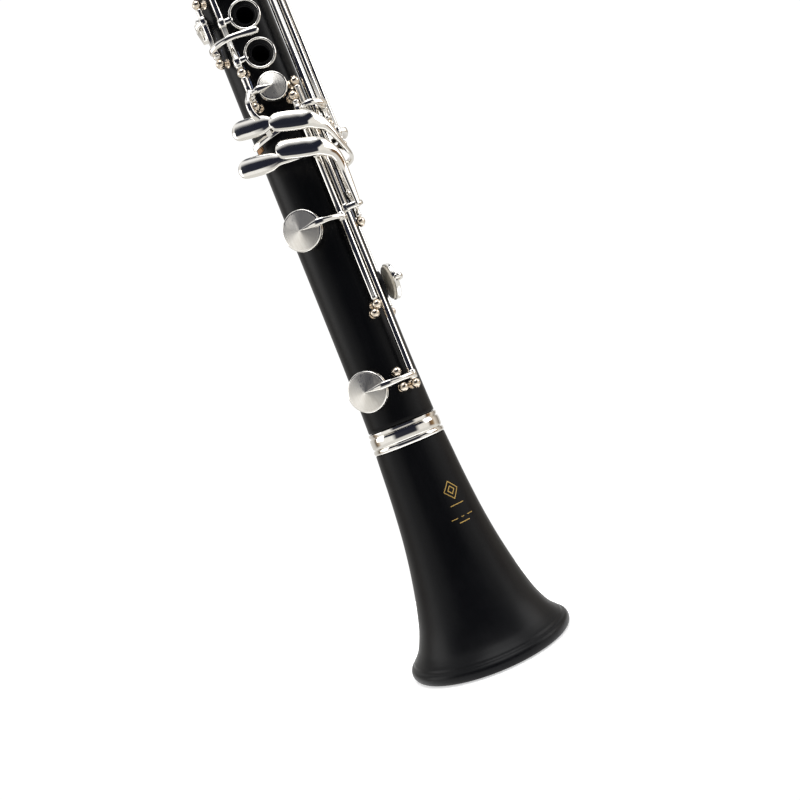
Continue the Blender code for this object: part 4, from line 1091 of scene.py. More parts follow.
    def build_low_f_sharp(self) -> None:
        """The low F sharp key: its cup is on the far side, and its touch is the upper front one."""
        hinge, hole = self.low_f_sharp, self.hole_f_sharp
        turn = hinge.swing(hole.angle, self.far_travel)
        shape = Shape().sweep(arm(hinge, hole))
        shape.sweep([Spot(85.0, 21.6, 171.0, 1.6, 1.5, 85), Spot(72.0, 22.4, 171.0, 2.4, 1.5, 76),
                     Spot(61.0, 22.6, 171.2, 2.4, 1.4, 66), Spot(56.0, 21.0, 171.2, 2.2, 1.3, 60)], 12, 5)
        shape.sweep([Spot(118.0, 19.8, 242.5, 2.8, 1.8), Spot(109.0, 21.6, 242.5, 2.8, 1.6),
                     Spot(100.0, 22.4, 242.5, 3.0, 1.5)], 12, 4)
        shape.moved(turn).join(hinge.tube((171.0, 230.0, 242.5)))
        plate = self.touch(FRONT_FACE, 26.6, 246.4, ((-5.4, 8.8, 3.3), (-1.5, 9.2, 3.5), (3.0, 9.0, 3.5),
                                                     (7.0, 8.2, 3.3)))
        bend = [Spot(21.5, 27.1, 243.4, 7.0, 3.0, 12), Spot(29.5, 26.7, 241.9, 5.8, 2.8, 24),
                Spot(37.0, 26.0, 239.2, 4.6, 2.5, 34), Spot(44.0, 25.4, 235.9, 3.9, 2.2, 42),
                Spot(52.0, 24.9, 232.6, 3.4, 2.0, 50), Spot(61.0, 24.5, 230.8, 3.4, 1.9, 60),
                Spot(78.0, 24.0, 230.0, 3.2, 1.8), Spot(96.0, 23.6, 230.0, 3.0, 1.8),
                Spot(111.0, 22.2, 230.0, 2.8, 1.8), Spot(117.0, 19.8, 230.0, 2.8, 1.8)]
        shape.sweep([*plate, *bend], *TOUCH_SWEEP)
        piece("low_f_sharp_key_metal", shape, MIRROR_NICKEL, "low_f_sharp_key", ("low_f_sharp_key",))
        self.cup("low_f_sharp", hole, "low_f_sharp_key", turn, ("low_f_sharp_pad",))
        self.posts("low_f_sharp_rod_and_posts", hinge, lower_radius)

    def build_studs(self) -> None:
        """Three studs on the body, beside the lower ends of the two front tubes."""
        shape = Shape()
        for angle, height, rise in ((12.5, 124.2, 17.6), (12.0, 131.5, 16.9), (14.0, 158.6, 17.6)):
            self.post(shape, facing(angle, 0, height), rise, lower_radius(height))
        piece("stop_studs", shape, WARM_NICKEL)

    def build_g_sharp(self) -> None:
        """The G sharp key: the upper left touch, with a cork bumper on a flat arm."""
        hinge, hole = self.g_sharp, self.hole_g_sharp
        shape = hinge.tube((266.0,)).sweep(arm(hinge, hole))
        plate = self.touch(LEFT_FACE, 20.6, 251.8, ((-10.9, 8.8, 3.2), (-7.0, 9.1, 3.4), (-2.5, 8.9, 3.4),
                                                    (1.6, 7.4, 2.7), (4.0, 4.6, 2.0)))
        shape.sweep(plate, *TOUCH_SWEEP)
        shape.sweep([Spot(-33.0, 20.8, 253.4, 3.2, 1.8), Spot(-36.0, 22.3, 257.4, 2.8, 1.9),
                     Spot(-36.5, 22.3, 262.4, 2.6, 1.8), Spot(-34.6, 20.6, 265.6, 2.6, 1.8),
                     Spot(-34.0, 19.6, 267.4, 2.4, 1.6)], 12, 5)
        shape.sweep([Spot(-30.0, 20.6, 250.8, 2.4, 1.4, -32), Spot(-29.6, 19.4, 248.6, 2.6, 1.2, -30),
                     Spot(-30.0, 18.3, 246.8, 2.6, 1.0, -30)], 12, 5, 4.0)
        shape.sweep([Spot(-62.0, 18.6, 245.8, 2.8, 1.0), Spot(-45.0, 18.2, 246.3, 2.8, 1.0),
                     Spot(-28.0, 18.2, 246.9, 2.8, 1.0), Spot(-14.0, 18.2, 247.5, 2.6, 1.0),
                     Spot(-3.0, 18.2, 248.0, 2.4, 1.0)], 12, 6, 4.0)
        piece("g_sharp_key_metal", shape, MIRROR_NICKEL, "low_g_sharp_key", ("low_g_sharp_key",))
        self.cup("g_sharp", hole, "low_g_sharp_key", Matrix(), ("low_g_sharp_pad",))
        block = Shape().block((-2.2, -2.1, 14.6), (2.2, 2.1, 15.7), facing(-69.0, 0, 246.2), 0.25)
        piece("g_sharp_bumper_cork", block, CORK)
        line = Hinge(self.g_sharp.angle, self.g_sharp.radius, self.g_sharp.low, self.rings.high)
        self.posts("left_line_rod_and_posts", line, lower_radius, (self.g_sharp.high,))

    def build_rings(self) -> None:
        """The right hand rings, which turn together with their vent cup and the bridge."""
        hinge, hole = self.rings, self.hole_vent
        turn = hinge.swing(hole.angle, VENT_TRAVEL)
        shape = hinge.tube((*self.fingers, 327.5)).sweep(arm(hinge, hole, 0.5, 1.9))
        for z in self.fingers:
            finger_ring(shape, 0, z, hinge, lower_radius(z))
        shape.sweep([Spot(-34.0, 19.4, 333.0, 2.6, 1.6), Spot(-39.0, 21.2, 333.6, 2.6, 1.5),
                     Spot(-43.5, 21.5, 337.6, 3.0, 1.4), Spot(-44.0, 21.0, 344.0, 3.4, 1.3),
                     Spot(-44.0, 20.5, 350.0, 3.6, 1.2)], 12, 5)
        piece("lower_ring_key_metal", shape.moved(turn), MIRROR_NICKEL, "lower_rings_key",
              ("lower_ring_key",))
        self.cup("lower_ring", hole, "lower_rings_key", turn, ("lower_ring_pad",))

    def build_cross(self) -> None:
        """The side key that crosses in front between two rings."""
        hinge, hole = self.cross, self.hole_cross
        shape = hinge.tube((290.5, 306.0)).sweep(arm(hinge, hole))
        shape.sweep([Spot(-64.0, 19.6, 290.5, 2.6, 1.7), Spot(-58.0, 22.6, 290.5, 2.6, 1.7),
                     Spot(-44.0, 23.4, 290.5, 2.6, 1.7), Spot(-28.0, 23.0, 290.5, 2.6, 1.7),
                     Spot(-14.0, 21.4, 290.5, 2.8, 1.8), Spot(-4.0, 20.8, 290.5, 3.3, 1.8),
                     Spot(3.0, 20.7, 290.5, 3.1, 1.7)], 14, 5)
        piece("cross_f_sharp_key_metal", shape, MIRROR_NICKEL, "cross_f_sharp_key",
              ("cross_f_sharp_key",))
        self.cup("cross_f_sharp", hole, "cross_f_sharp_key", Matrix())
        self.posts("cross_f_sharp_rod_and_posts", hinge, lower_radius)

    def build_levers(self) -> None:
        """The three long levers for the left little finger."""
        feet = {
            "lever_e": ([Spot(48.0, 19.9, 212, 2.2, 1.4), Spot(44.0, 20.5, 212, 2.4, 1.3),
                         Spot(40.0, 20.5, 212, 2.4, 1.2)], 57.0, 24.0),
            "lever_f": ([Spot(62.0, 21.4, 253, 2.2, 1.4), Spot(57.0, 22.5, 253, 2.4, 1.3),
                         Spot(46.0, 22.4, 253, 2.6, 1.2)], 73.0, 25.2),
            "lever_f_sharp": ([Spot(77.0, 22.8, 242.5, 2.2, 1.4), Spot(84.0, 26.0, 242.5, 2.8, 1.3),
                               Spot(92.0, 26.4, 242.5, 3.6, 1.3),
                               Spot(100.0, 26.4, 242.5, 3.4, 1.2)], 89.0, 26.2),
        }
        for name, (foot, angle, radius) in feet.items():
            hinge: Hinge = getattr(self, name)
            start = hinge.high - 6
            shape = hinge.tube((foot[0].height, start)).sweep(foot, 12, 4)
            half_way = (hinge.angle + angle) / 2
            bow = (hinge.radius + radius) / 2 + 1.6
            shape.sweep([Spot(hinge.angle, hinge.radius + 0.6, start, 2.6, 1.6),
                         Spot(half_way, bow, start + 0.8, 2.6, 1.6),
                         Spot(angle - 1, radius, start + 5.0, 3.0, 1.7),
                         Spot(angle, radius, 333, 4.6, 2.2), Spot(angle, radius, 338, 5.2, 2.4),
                         Spot(angle, radius, 342.4, 5.0, 2.3)], 18, 5)
            piece(f"{name}_metal", shape, MIRROR_NICKEL, name, (name,))
            self.posts(f"{name}_rod_and_posts", hinge, lower_radius)

    def build_thumb_rest(self) -> None:
        """The thumb rest: a screwed plate with a bent hook."""
        shape = Shape().sweep([Spot(180, 16.0, 295.5, 10.2, 1.3), Spot(180, 16.1, 301, 10.4, 1.4),
                               Spot(180, 16.1, 307.5, 10.2, 1.3)], 24, 4, 4.0)
        shape.sweep([Spot(180, 16.6, 300.5, 8.4, 1.6), Spot(180, 20.5, 303.6, 8.8, 1.9),
                     Spot(180, 26.0, 305.8, 9.6, 1.8), Spot(180, 30.6, 306.8, 9.8, 1.6)], 20, 5, 3.2)
        head = ((0, 0.5), (1.2, 0.45), (1.7, 0.1), (1.7, -0.6), (0, -0.6))
        for z in (294.0, 308.6):
            shape.turn(head, facing(180, 17.0, z), 24, 0.08)
        piece("thumb_rest_metal", shape, MIRROR_NICKEL, ROOT, ("thumb_rest",))


# ---------------------------------------------------------------- upper joint keys
@dataclass
class UpperKeys(Keywork):
    """The keys and rings of the upper joint."""

    rings: Hinge = Hinge(-36.0, UPPER_LINE, 356.0, 489.0)
    thumb: Hinge = Hinge(112.0, UPPER_LINE, 480.0, 508.0)
    c_sharp: Hinge = Hinge(52.0, UPPER_LINE, 384.0, 419.0)
    sliver: Hinge = Hinge(46.0, UPPER_LINE, 431.0, 452.0)
    saddle: float = 383.0
    sides: Profile = ((-66.0, 459.0), (-80.0, 478.0), (-94.0, 511.0), (-108.0, 529.0))
    side_holes: Sequence[tuple[float, float, float]] = (
        (-140, 452, 4.6), (-140, 471, 4.6), (-62, 503.5, 4.2), (-80, 521.5, 4.2))
    side_touches: Profile = ((-58.0, 399.0), (-70.0, 420.0), (-104.0, 399.0), (-118.0, 420.0))
    fingers: tuple[tuple[float, float], ...] = ((0, 428.0), (0, 456.0), (0, 478.0), (180, 488.0))
    small: dict[str, tuple[float, float, float]] = field(default_factory=lambda: {
        "c_sharp": (88, 410, 5.0), "sliver": (75, 436, 4.2), "upper_ring": (-8, 441, 4.2),
        "thumb_ring": (142, 500.5, 4.0), "throat_g_sharp": (38, 522.5, 4.0), "throat_a": (0, 528.5, 4.0),
        "register": (180, 528.5, 3.6)})

    def hole(self, name: str) -> Hole:
        """A small key's hole."""
        return Hole(*self.small[name], upper_radius, 1.0)

    def build(self) -> None:
        """Makes the joint and its keys."""
        side_holes = [Hole(*numbers, upper_radius, 1.0) for numbers in self.side_holes]
        top = [(TENON - 0.5, UPPER_HEAD + 17), (TENON, UPPER_HEAD + 16.5), (TENON, UPPER_HEAD + 11),
               (TENON_GROOVE, UPPER_HEAD + 11), (TENON_GROOVE, UPPER_HEAD + 2),
               (TENON, UPPER_HEAD + 2), (TENON, UPPER_HEAD)]
        heights = (UPPER_HEAD - 0.3, 500, 460, 420, 380, UPPER_FOOT + 0.3)
        outline = [*top, (13.7, UPPER_HEAD), *[(UPPER_RADIUS, z) for z in heights], (13.7, UPPER_FOOT),
                   *tenon_down(UPPER_FOOT, 14.0), (BORE, UPPER_FOOT - 14), (BORE, UPPER_HEAD + 17)]
        holes = [*side_holes, *[self.hole(name) for name in self.small]]
        Joint("upper_joint", upper_radius, outline, holes, self.fingers).build()
        cork_sleeve("middle_tenon_cork", UPPER_FOOT - 11)
        cork_sleeve("barrel_tenon_cork", UPPER_HEAD + 2)
        self.build_rings()
        self.build_side_keys(side_holes)
        self.build_small()
        self.rocker("register", 180.0, 512.0, 500.5, 9.5)
        self.rocker("throat_a", 0.0, 512.0, 496.0, 12.0)
        self.rocker("throat_g_sharp", 38.0, 502.0, 489.0, 10.0)

    def build_rings(self) -> None:
        """The left hand rings and the thumb ring."""
        hinge, hole = self.rings, self.hole("upper_ring")
        turn = hinge.swing(hole.angle, VENT_TRAVEL)
        shape = hinge.tube((441.0, 456.0, 478.0)).sweep(arm(hinge, hole, 0.5, 1.9))
        for angle, z in self.fingers[1:3]:
            finger_ring(shape, angle, z, hinge, UPPER_RADIUS)
        shape.sweep([Spot(-36, 18.2, 362, 2.6, 1.6), Spot(-40, 21.4, 361.4, 2.8, 1.5),
                     Spot(-43.5, 23.0, 358, 3.2, 1.4), Spot(-44, 23.2, 353, 3.6, 1.3),
                     Spot(-44, 23.2, 350, 3.6, 1.2)], 12, 5)
        piece("upper_ring_key_metal", shape.moved(turn), MIRROR_NICKEL, "upper_rings_key",
              ("upper_ring_key",))
        self.cup("upper_ring", hole, "upper_rings_key", turn)
        self.posts("upper_ring_rod_and_posts", hinge, upper_radius)
        hinge, hole = self.thumb, self.hole("thumb_ring")
        turn = hinge.swing(hole.angle, VENT_TRAVEL)
        shape = hinge.tube((488.0, 500.5)).sweep(arm(hinge, hole, 0.5, 1.9))
        finger_ring(shape, 180, 488.0, hinge, UPPER_RADIUS)
        piece("thumb_ring_key_metal", shape.moved(turn), MIRROR_NICKEL, "thumb_ring_key",
              ("thumb_ring_key",))
        self.cup("thumb_ring", hole, "thumb_ring_key", turn)
        self.posts("thumb_ring_rod_and_posts", hinge, upper_radius)

    def build_side_keys(self, holes: Sequence[Hole]) -> None:
        """The four right hand side keys on their common saddle."""
        steel = Shape()
        rows = zip(self.sides, holes, self.side_touches)
        for number, ((angle, high), hole, (touch, z)) in enumerate(rows, 1):
            hinge = Hinge(angle, UPPER_LINE, self.saddle, high)
            start = z - 7
            crown = 2.6 if number < 3 else 0.0
            shape = hinge.tube((start, hole.height)).sweep(arm(hinge, hole, 0.6, 2.0, crown))
            shape.sweep([Spot(angle, 18.2, start, 2.4, 1.6),
                         Spot((angle + touch) / 2, 20.4, start + 0.4, 2.4, 1.6),
                         Spot(touch, 21.3, start + 3.2, 3.4, 1.8), Spot(touch, 21.3, z, 4.4, 2.2),
                         Spot(touch, 21.3, z + 5.4, 4.2, 2.1)], 16, 5)
            piece(f"side_key_{number}_metal", shape, MIRROR_NICKEL, f"side_{number}_key",
                  (f"side_key_{number}",))
            self.cup(f"side_{number}", hole, f"side_{number}_key", Matrix())
            steel.rod(*hinge.ends(), ROD)
            for height in (self.saddle, high):
                self.post(steel, facing(angle, 0, height), UPPER_LINE, UPPER_RADIUS)
            self.springs(f"side_{number}_rod_and_posts", hinge, upper_radius)
        first, last = self.sides[0][0], self.sides[-1][0]
        saddle = [Spot(first + (last - first) * i / 4, 14.5, self.saddle, 4.4, 1.6) for i in range(5)]
        steel.sweep(saddle, 16, 4, 5.0)
        piece("side_keys_saddle_metal", steel, WARM_NICKEL, ROOT, ("side_keys_saddle_and_rods",))

    def build_small(self) -> None:
        """The C sharp key and the sliver key."""
        hinge, hole = self.c_sharp, self.hole("c_sharp")
        shape = hinge.tube((393.0, 410.0)).sweep(arm(hinge, hole, 0.6, 2.0))
        shape.sweep([Spot(52, 18.2, 393, 2.4, 1.6), Spot(44, 20.0, 393, 2.8, 1.6),
                     Spot(36, 20.6, 393, 3.4, 1.7)], 12, 4)
        shape.sweep([Spot(30, 20.7, 388.2, 5.2, 2.1), Spot(30, 20.7, 393, 6.0, 2.3),
                     Spot(30, 20.7, 397.8, 5.2, 2.1)], 20, 5, 2.7)
        piece("c_sharp_key_metal", shape, MIRROR_NICKEL, "c_sharp_key", ("c_sharp_key",))
        self.cup("c_sharp", hole, "c_sharp_key", Matrix())
        self.posts("c_sharp_rod_and_posts", hinge, upper_radius)
        hinge, hole = self.sliver, self.hole("sliver")
        shape = hinge.tube((443.0, 436.0)).sweep(arm(hinge, hole, 0.6, 2.0))
        shape.sweep([Spot(46, 18.2, 443, 2.4, 1.6), Spot(38, 19.6, 443, 2.6, 1.6),
                     Spot(30, 19.8, 443, 3.2, 1.6), Spot(22, 19.6, 443, 2.6, 1.4)], 14, 5)
        piece("sliver_key_metal", shape, MIRROR_NICKEL, "sliver_key", ("sliver_key",))
        self.cup("sliver", hole, "sliver_key", Matrix())
        self.posts("sliver_rod_and_posts", hinge, upper_radius)

    def rocker(self, name: str, angle: float, height: float, touch: float, length: float) -> None:
        """Makes a key that rocks across the bore.

        Args:
            name: the key's name.
            angle: its angle round the bore.
            height: height of its hinge.
            touch: height of the middle of its touch.
            length: the touch's length.
        """
        hole = self.hole(name)
        centre, across = place(angle, UPPER_LINE, height), sideways(angle) * MM
        tube, pin, stand_off = 3.35, 5.9, 5.6
        shape = Shape().rod(centre - across * tube, centre + across * tube, KEY_TUBE, 20, 0.2)
        end = length / 2 - 2.6
        shape.sweep([Spot(angle, hole.top + 0.7, hole.height, 0.6, 0.5),
                     Spot(angle, hole.top + 1.2, hole.height - 2.6, 2.0, 1.3),
                     Spot(angle, 19.9, height + 7.0, 2.4, 1.6), Spot(angle, 19.2, height, 2.8, 2.0),
                     Spot(angle, 20.3, height - 5.0, 3.4, 1.9), Spot(angle, 20.4, touch + end, 5.4, 2.1),
                     Spot(angle, 20.4, touch - end, 5.6, 2.1)], 18, 5)
        piece(f"{name}_key_metal", shape, MIRROR_NICKEL, f"{name}_key", (f"{name}_key",))
        self.cup(name, hole, f"{name}_key", Matrix())
        steel = Shape().rod(centre - across * pin, centre + across * pin, ROD)
        for side in (-1, 1):
            stand = Matrix.Translation(across * side * stand_off) @ facing(angle, 0, height)
            self.post(steel, stand, UPPER_LINE, math.sqrt(UPPER_RADIUS**2 - 3.7**2))
        node = f"{name}_rod_and_posts"
        piece(f"{node}_metal", steel, WARM_NICKEL, ROOT, (node,))


# ---------------------------------------------------------------- head: barrel, mouthpiece, reed, ligature
@dataclass
class Head:
    """The barrel, the mouthpiece, the reed and the ligature that clamps it."""

    table: float = 8.2
    beak_foot: float = TIP - 36.0
    ligature_low: float = MOUTHPIECE_FOOT + 14.0
    ligature_high: float = MOUTHPIECE_FOOT + 40.0

    def build(self) -> None:
        """Makes every piece above the upper joint."""
        low, high = BARREL_FOOT, BARREL_HEAD
        side = through(((15.2, high - 4.8), (15.75, high - 13), (16.1, high - 22),
                        (16.2, (low + high) / 2), (16.1, low + 22), (15.75, low + 13),
                        (15.2, low + 4.8)), 5)
        outline = [(14.1, high), (14.1, high - 4.8), *side, (14.1, low + 4.8), (14.1, low), (SOCKET, low),
                   (SOCKET, low + 17.3), (BORE, low + 17.3), (BORE, high - 17.3), (SOCKET, high - 17.3),
                   (SOCKET, high)]
        barrel = Shape().turn(outline, steps=TURNED_SIDES, closed=True)
        piece("barrel_turned", barrel, RESIN, ROOT, ("barrel",))
        metal_band("barrel_lower_ring", 15.2, low, low + 4.5)
        metal_band("barrel_upper_ring", 15.2, high - 4.5, high)
        self.build_mouthpiece()
        self.build_reed()
        self.build_ligature()

    def build_mouthpiece(self) -> None:
        """Turns the blank, then cuts the beak, the table and the window."""
        foot = MOUTHPIECE_FOOT
        outline = [(0, TIP), (10.4, TIP), (10.9, TIP - 6), (11.6, TIP - 20), (12.3, self.beak_foot),
                   (12.9, foot + 12), (13.0, foot + 2), (12.6, foot), *tenon_down(foot, 17.0),
                   (BORE, foot - 17), (6.2, self.beak_foot + 2), (0, self.beak_foot + 3)]
        slope = math.atan2(TIP - self.beak_foot, 20.0)
        beak = (Matrix.Translation(Vector((0, -13.0, self.beak_foot)) * MM)
                @ Matrix.Rotation(slope - math.pi / 2, 4, "X"))
        cuts = (((-20, -30, -2), (20, 0, 60), beak),
                ((-20, self.table, foot + 4.5), (20, 30, TIP + 10), None),
                ((-4.6, -3.0, self.beak_foot - 3), (4.6, 9.5, TIP - 21.2), None),
                ((-4.6, 3.0, self.beak_foot - 3), (4.6, 9.5, TIP - 1.4), None))
        blank = Shape().turn(outline, steps=96)
        for low, high, at in cuts:
            blank = bored(blank, Shape().block(low, high, at, 0))
        made = piece("mouthpiece_cut", blank, EBONITE, ROOT, ("mouthpiece",), 30)
        edge = made.modifiers.new("eased edges", "BEVEL")
        edge.width, edge.segments, edge.limit_method = 0.25 * MM, 2, "ANGLE"
        edge.angle_limit = math.radians(35)
        cork_sleeve("mouthpiece_cork", foot - 11)

    def build_reed(self) -> None:
        """The reed: flat on the table, with a long vamp that thins to the tip."""
        foot, face = MOUTHPIECE_FOOT + 6.5, self.table + GAP
        cuts = ((foot, 11.0, 2.0), (foot + 3, 11.4, 2.7), (foot + 18, 11.7, 2.7),
                (TIP - 34, 12.0, 2.65), (TIP - 29, 12.1, 2.0), (TIP - 21, 12.3, 1.2),
                (TIP - 13, 12.5, 0.55), (TIP - 7.0, 12.6, 0.2))
        spots = [Spot(180, face + thick / 2, z, width, thick) for z, width, thick in cuts]
        piece("reed_cut", Shape().sweep(spots, 32, 4, 7.0), CANE, ROOT, ("reed",), 30)

    def build_ligature(self) -> None:
        """The ligature: a thin sleeve with two screw lugs and two knurled screws."""
        low, high = self.ligature_low, self.ligature_high
        wall = ((14.0, high - 0.4), (14.15, high - 0.7), (14.0, high - 1.2), (14.0, low + 1.2),
                (14.15, low + 0.7), (14.0, low + 0.4), (13.8, low), (13.3, low), (13.3, high),
                (13.8, high))
        slots = Shape().block((-1.2, 10, low - 1), (1.2, 22, high + 1), None, 0)
        for x in (-8.5, 8.5):
            slots.block((x - 1.2, 5, low + 8), (x + 1.2, 22, high - 8), None, 0)
        heights = (low + 6, high - 6)
        band = bored(Shape().turn(wall, steps=96, closed=True), slots)
        for z in heights:
            for side in (-1, 1):
                lug = side * 2.1
                band.block((lug - 0.9, 13.2, z - 2.5), (lug + 0.9, 18.8, z + 2.5), None, 0.5)
        piece("ligature_band", band, MIRROR_NICKEL, ROOT, ("ligature",))
        knob = ((0, 5.5), (1.9, 5.5), (2.3, 5.0), (2.3, 4.4), (1.6, 3.9), (1.6, 1.0), (0, 1.0))
        for number, z in enumerate(heights, 1):
            start = Vector((-4.2, 16.6, z)) * MM
            screw = Shape().rod(start, Vector((4.0, 16.6, z)) * MM, 1.0, 16)
            head = along(Vector((3.5, 16.6, z)) * MM, Vector((9.0, 16.6, z)) * MM)
            screw.turn(knob, head, 24, 0.15)
            self.knurl(screw, head)
            piece(f"ligature_screw_{number}_knurled", screw, MIRROR_NICKEL, ROOT,
                  (f"ligature_screw_{number}",))

    def knurl(self, screw: Shape, at: Matrix) -> None:
        """Adds the fluted disc of a screw's head."""
        part = bmesh.new()
        radius, flutes = 2.5 * MM, 48
        bmesh.ops.create_cone(part, cap_ends=True, segments=flutes, radius1=radius, radius2=radius,
                              depth=2.6 * MM)
        bmesh.ops.translate(part, verts=part.verts, vec=(0, 0, 2.4 * MM))
        for vert in part.verts:
            turn = round(math.atan2(vert.co.y, vert.co.x) / math.tau * flutes)
            vert.co.xy *= 1.08 if turn % 2 else 1.0
        soften(part, 0.08)
        screw.take(part, at)


# ---------------------------------------------------------------- room
Colours = Sequence[tuple[float, Colour]]


@dataclass(frozen=True)
class Room:
    """The floor, the light and the camera."""

    azimuth: float = -10.0
    distance: float = 0.413
    height: float = 0.1195
    aside: float = 0.0031
    roll: float = 21.9
    lens: float = 41.1
    sensor: float = 36.0
    floor_radius: float = 0.16
    floor_drop: float = 0.0004
    floor_glow: float = 0.55
    lit_point: tuple[float, float, float] = (0, 0, 0.2)
    horizon: Colours = (
        (-180, (0.90, 0.90, 0.90)), (-140, (0.60, 0.59, 0.57)), (-122, (0.14, 0.12, 0.10)),
        (-108, (0.80, 0.78, 0.75)), (-86, (0.86, 0.85, 0.84)), (-74, (0.030, 0.034, 0.048)),
        (-40, (0.016, 0.018, 0.030)), (66, (0.016, 0.018, 0.030)), (76, (0.85, 0.84, 0.82)),
        (92, (0.80, 0.79, 0.77)), (98, (0.17, 0.10, 0.05)), (108, (0.30, 0.18, 0.09)),
        (116, (0.78, 0.74, 0.68)), (140, (0.26, 0.24, 0.22)), (152, (0.74, 0.73, 0.71)),
        (180, (0.90, 0.90, 0.90)))
    lower_horizon: Colours = (
        (-180, (0.88, 0.87, 0.85)), (-128, (0.55, 0.53, 0.50)), (-116, (0.12, 0.09, 0.06)),
        (-104, (0.42, 0.33, 0.24)), (-92, (0.90, 0.89, 0.86)), (-46, (0.95, 0.94, 0.92)),
        (-32, (0.030, 0.032, 0.044)), (34, (0.020, 0.022, 0.034)), (46, (0.88, 0.86, 0.83)),
        (80, (0.86, 0.84, 0.80)), (90, (0.14, 0.08, 0.04)), (104, (0.30, 0.19, 0.10)),
        (114, (0.70, 0.64, 0.56)), (142, (0.22, 0.19, 0.16)), (152, (0.70, 0.68, 0.65)),
        (180, (0.88, 0.87, 0.85)))

    def build(self) -> None:
        """Makes the whole setting."""
        self.camera()
        self.floor()
        self.sky()
        self.lamp("top_softbox", Vector((0.1, -0.35, 1.3)), 0.9, 9.0)
        self.lamp("left_softbox", Vector((-1.1, 0.25, 0.5)), 0.7, 2.4)
        self.lamp("right_softbox", Vector((1.1, -0.2, 0.6)), 0.7, 4.0)

    def camera(self) -> None:
        """Stands the camera level with the lower joint's foot, rolled so that the instrument leans."""
        turn, roll = math.radians(self.azimuth), math.radians(self.roll)
        back = Vector((math.sin(turn), -math.cos(turn), 0))
        right = Vector((math.cos(turn), math.sin(turn), 0))
        image_right = right * math.cos(roll) - UP * math.sin(roll)
        image_up = UP * math.cos(roll) + right * math.sin(roll)
        data = bpy.data.cameras.new("camera")
        data.lens, data.sensor_width = self.lens, self.sensor
        data.clip_start = 0.01
        made = placed("camera", data)
        spot = back * self.distance + right * self.aside + UP * self.height
        axes = Matrix((image_right, image_up, back)).transposed().to_4x4()
        made.matrix_world = Matrix.Translation(spot) @ axes
        bpy.context.scene.camera = made

    def floor(self) -> None:
        """Lays a plain pale floor."""
        part = bmesh.new()
        bmesh.ops.create_circle(part, cap_ends=True, segments=64, radius=self.floor_radius)
        data = bpy.data.meshes.new("floor")
        part.to_mesh(data)
        part.free()
        data.transform(Matrix.Translation((0, 0, -self.floor_drop)))
        made = placed("floor", data)
        paint = bpy.data.materials.new("pale_floor")
        paint.use_nodes = True
        shader = paint.node_tree.nodes["Principled BSDF"]
        shader.inputs["Base Color"].default_value = (0.95, 0.95, 0.95, 1)
        shader.inputs["Roughness"].default_value = 0.9
        shader.inputs["Specular IOR Level"].default_value = 0.1
        shader.inputs["Emission Color"].default_value = (1, 1, 1, 1)
        shader.inputs["Emission Strength"].default_value = self.floor_glow
        data.materials.append(paint)

    def lamp(self, name: str, spot: Vector, size: float, power: float) -> None:
        """Hangs a square softbox that faces the instrument."""
        data = bpy.data.lights.new(name, "AREA")
        data.size, data.energy = size, power
        made = placed(name, data)
        away = spot - Vector(self.lit_point)
        facing_in = away.to_track_quat("Z", "Y").to_matrix().to_4x4()
        made.matrix_world = Matrix.Translation(spot) @ facing_in

    def sky(self) -> None:
        """White surroundings, with the dark depth of a studio in front of the instrument."""
        world = bpy.data.worlds.new("studio")
        bpy.context.scene.world = world
        world.use_nodes = True
        tree = world.node_tree
        light = tree.nodes["Background"]
        where = tree.nodes.new("ShaderNodeTexCoord")
        height = tree.nodes.new("ShaderNodeSeparateXYZ")
        tree.links.new(where.outputs["Generated"], height.inputs[0])
        rise = height.outputs["Z"]
        around = self.round_about(tree, where.outputs["Generated"], self.horizon)
        below = self.round_about(tree, where.outputs["Generated"], self.lower_horizon)
        black, white = (0, 0, 0), (1, 1, 1)
        level_stops = ((0.595, black), (0.63, white), (0.78, white), (0.86, black))
        low_stops = ((0.36, black), (0.42, white), (0.62, white), (0.66, black))
        level = self.ramp(tree, rise, level_stops, 0.5)
        low = self.ramp(tree, rise, low_stops, 0.5)
        over = self.ramp(tree, rise, ((0.0, (0.74, 0.73, 0.70)), (0.62, (0.92, 0.92, 0.92)),
                                      (0.82, (0.95, 0.95, 0.95)), (0.92, (0.10, 0.11, 0.13))))
        joined = self.blend(tree, low, over, below)
        tree.links.new(self.blend(tree, level, joined, around), light.inputs["Color"])
        backdrop = tree.nodes.new("ShaderNodeBackground")
        backdrop.inputs["Color"].default_value = (1, 1, 1, 1)
        backdrop.inputs["Strength"].default_value = 1.05
        seen = tree.nodes.new("ShaderNodeLightPath")
        mixed = tree.nodes.new("ShaderNodeMixShader")
        tree.links.new(seen.outputs["Is Camera Ray"], mixed.inputs[0])
        tree.links.new(light.outputs[0], mixed.inputs[1])
        tree.links.new(backdrop.outputs[0], mixed.inputs[2])
        tree.links.new(mixed.outputs[0], tree.nodes["World Output"].inputs["Surface"])

    def blend(self, tree: bpy.types.NodeTree, share: bpy.types.NodeSocket, first: bpy.types.NodeSocket,
              second: bpy.types.NodeSocket) -> bpy.types.NodeSocket:
        """The first colour, with a share of the second."""
        made = tree.nodes.new("ShaderNodeMix")
        made.data_type = "RGBA"
        for socket, value in ((0, share), (6, first), (7, second)):
            tree.links.new(value, made.inputs[socket])
        return made.outputs[2]

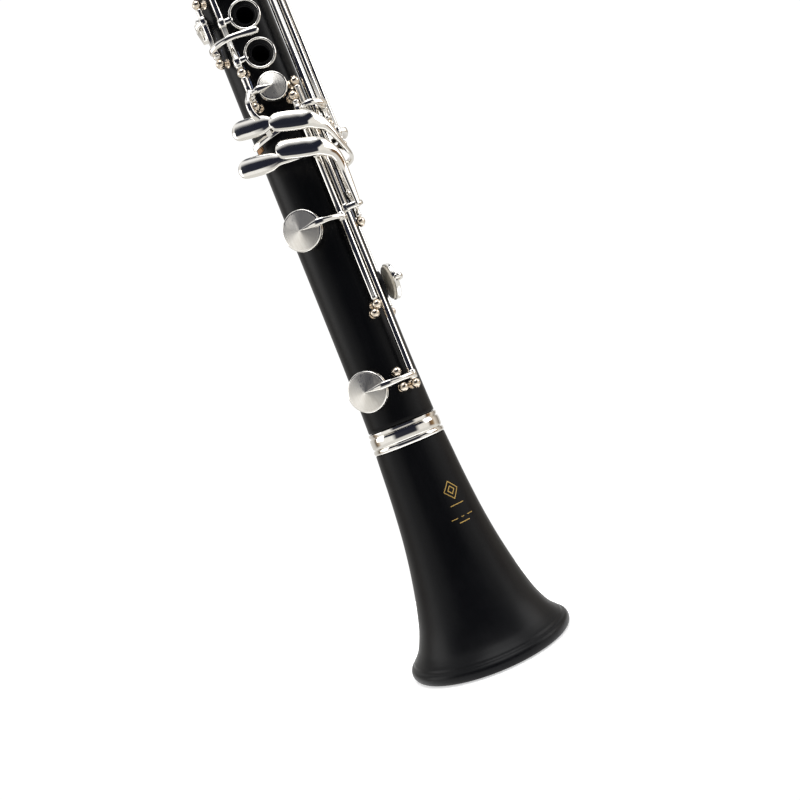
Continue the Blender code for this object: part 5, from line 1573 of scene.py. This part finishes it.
    def round_about(self, tree: bpy.types.NodeTree, where: bpy.types.NodeSocket,
                    colours: Colours) -> bpy.types.NodeSocket:
        """The colours met in a turn round the horizon.

        Args:
            tree: the tree that gets the nodes.
            where: the direction that is looked at.
            colours: angles in degrees from the camera's side, positive to its right, and colours.

        Returns:
            The colour.
        """
        turned = tree.nodes.new("ShaderNodeVectorRotate")
        turned.rotation_type = "Z_AXIS"
        turned.inputs["Angle"].default_value = -math.radians(self.azimuth)
        tree.links.new(where, turned.inputs["Vector"])
        parts = tree.nodes.new("ShaderNodeSeparateXYZ")
        tree.links.new(turned.outputs["Vector"], parts.inputs[0])
        ahead = maths(tree, "MULTIPLY", parts.outputs["Y"], -1)
        angle = maths(tree, "ARCTAN2", parts.outputs["X"], ahead)
        share = maths(tree, "MULTIPLY_ADD", angle, 1 / math.tau, 0.5)
        stops = tuple(((degrees + 180) / 360, colour) for degrees, colour in colours)
        return self.ramp(tree, share, stops)

    def ramp(self, tree: bpy.types.NodeTree, value: bpy.types.NodeSocket, stops: Colours,
             shift: float = 0.0) -> bpy.types.NodeSocket:
        """Colours read at a value.

        Args:
            tree: the tree that gets the nodes.
            value: what the colours are read at.
            stops: positions from 0 to 1 and their colours.
            shift: half of the value is added to this, where it isn't 0.

        Returns:
            The colour.
        """
        if shift:
            value = maths(tree, "MULTIPLY_ADD", value, 0.5, shift)
        curve = tree.nodes.new("ShaderNodeValToRGB")
        elements = curve.color_ramp.elements
        while len(elements) < len(stops):
            elements.new(0.5)
        for element, (position, colour) in zip(elements, stops):
            element.position = position
            element.color = (*colour, 1)
        tree.links.new(value, curve.inputs["Fac"])
        return curve.outputs["Color"]


def main() -> None:
    """Builds the setting and the instrument."""
    logging.basicConfig(level=logging.INFO, format="%(message)s")
    bpy.context.scene.view_settings.view_transform = "Standard"
    for part in (Room(), Bell(), LowerKeys(), UpperKeys(), Head()):
        LOG.info("building %s", type(part).__name__)
        part.build()


if __name__ == "__main__":
    main()
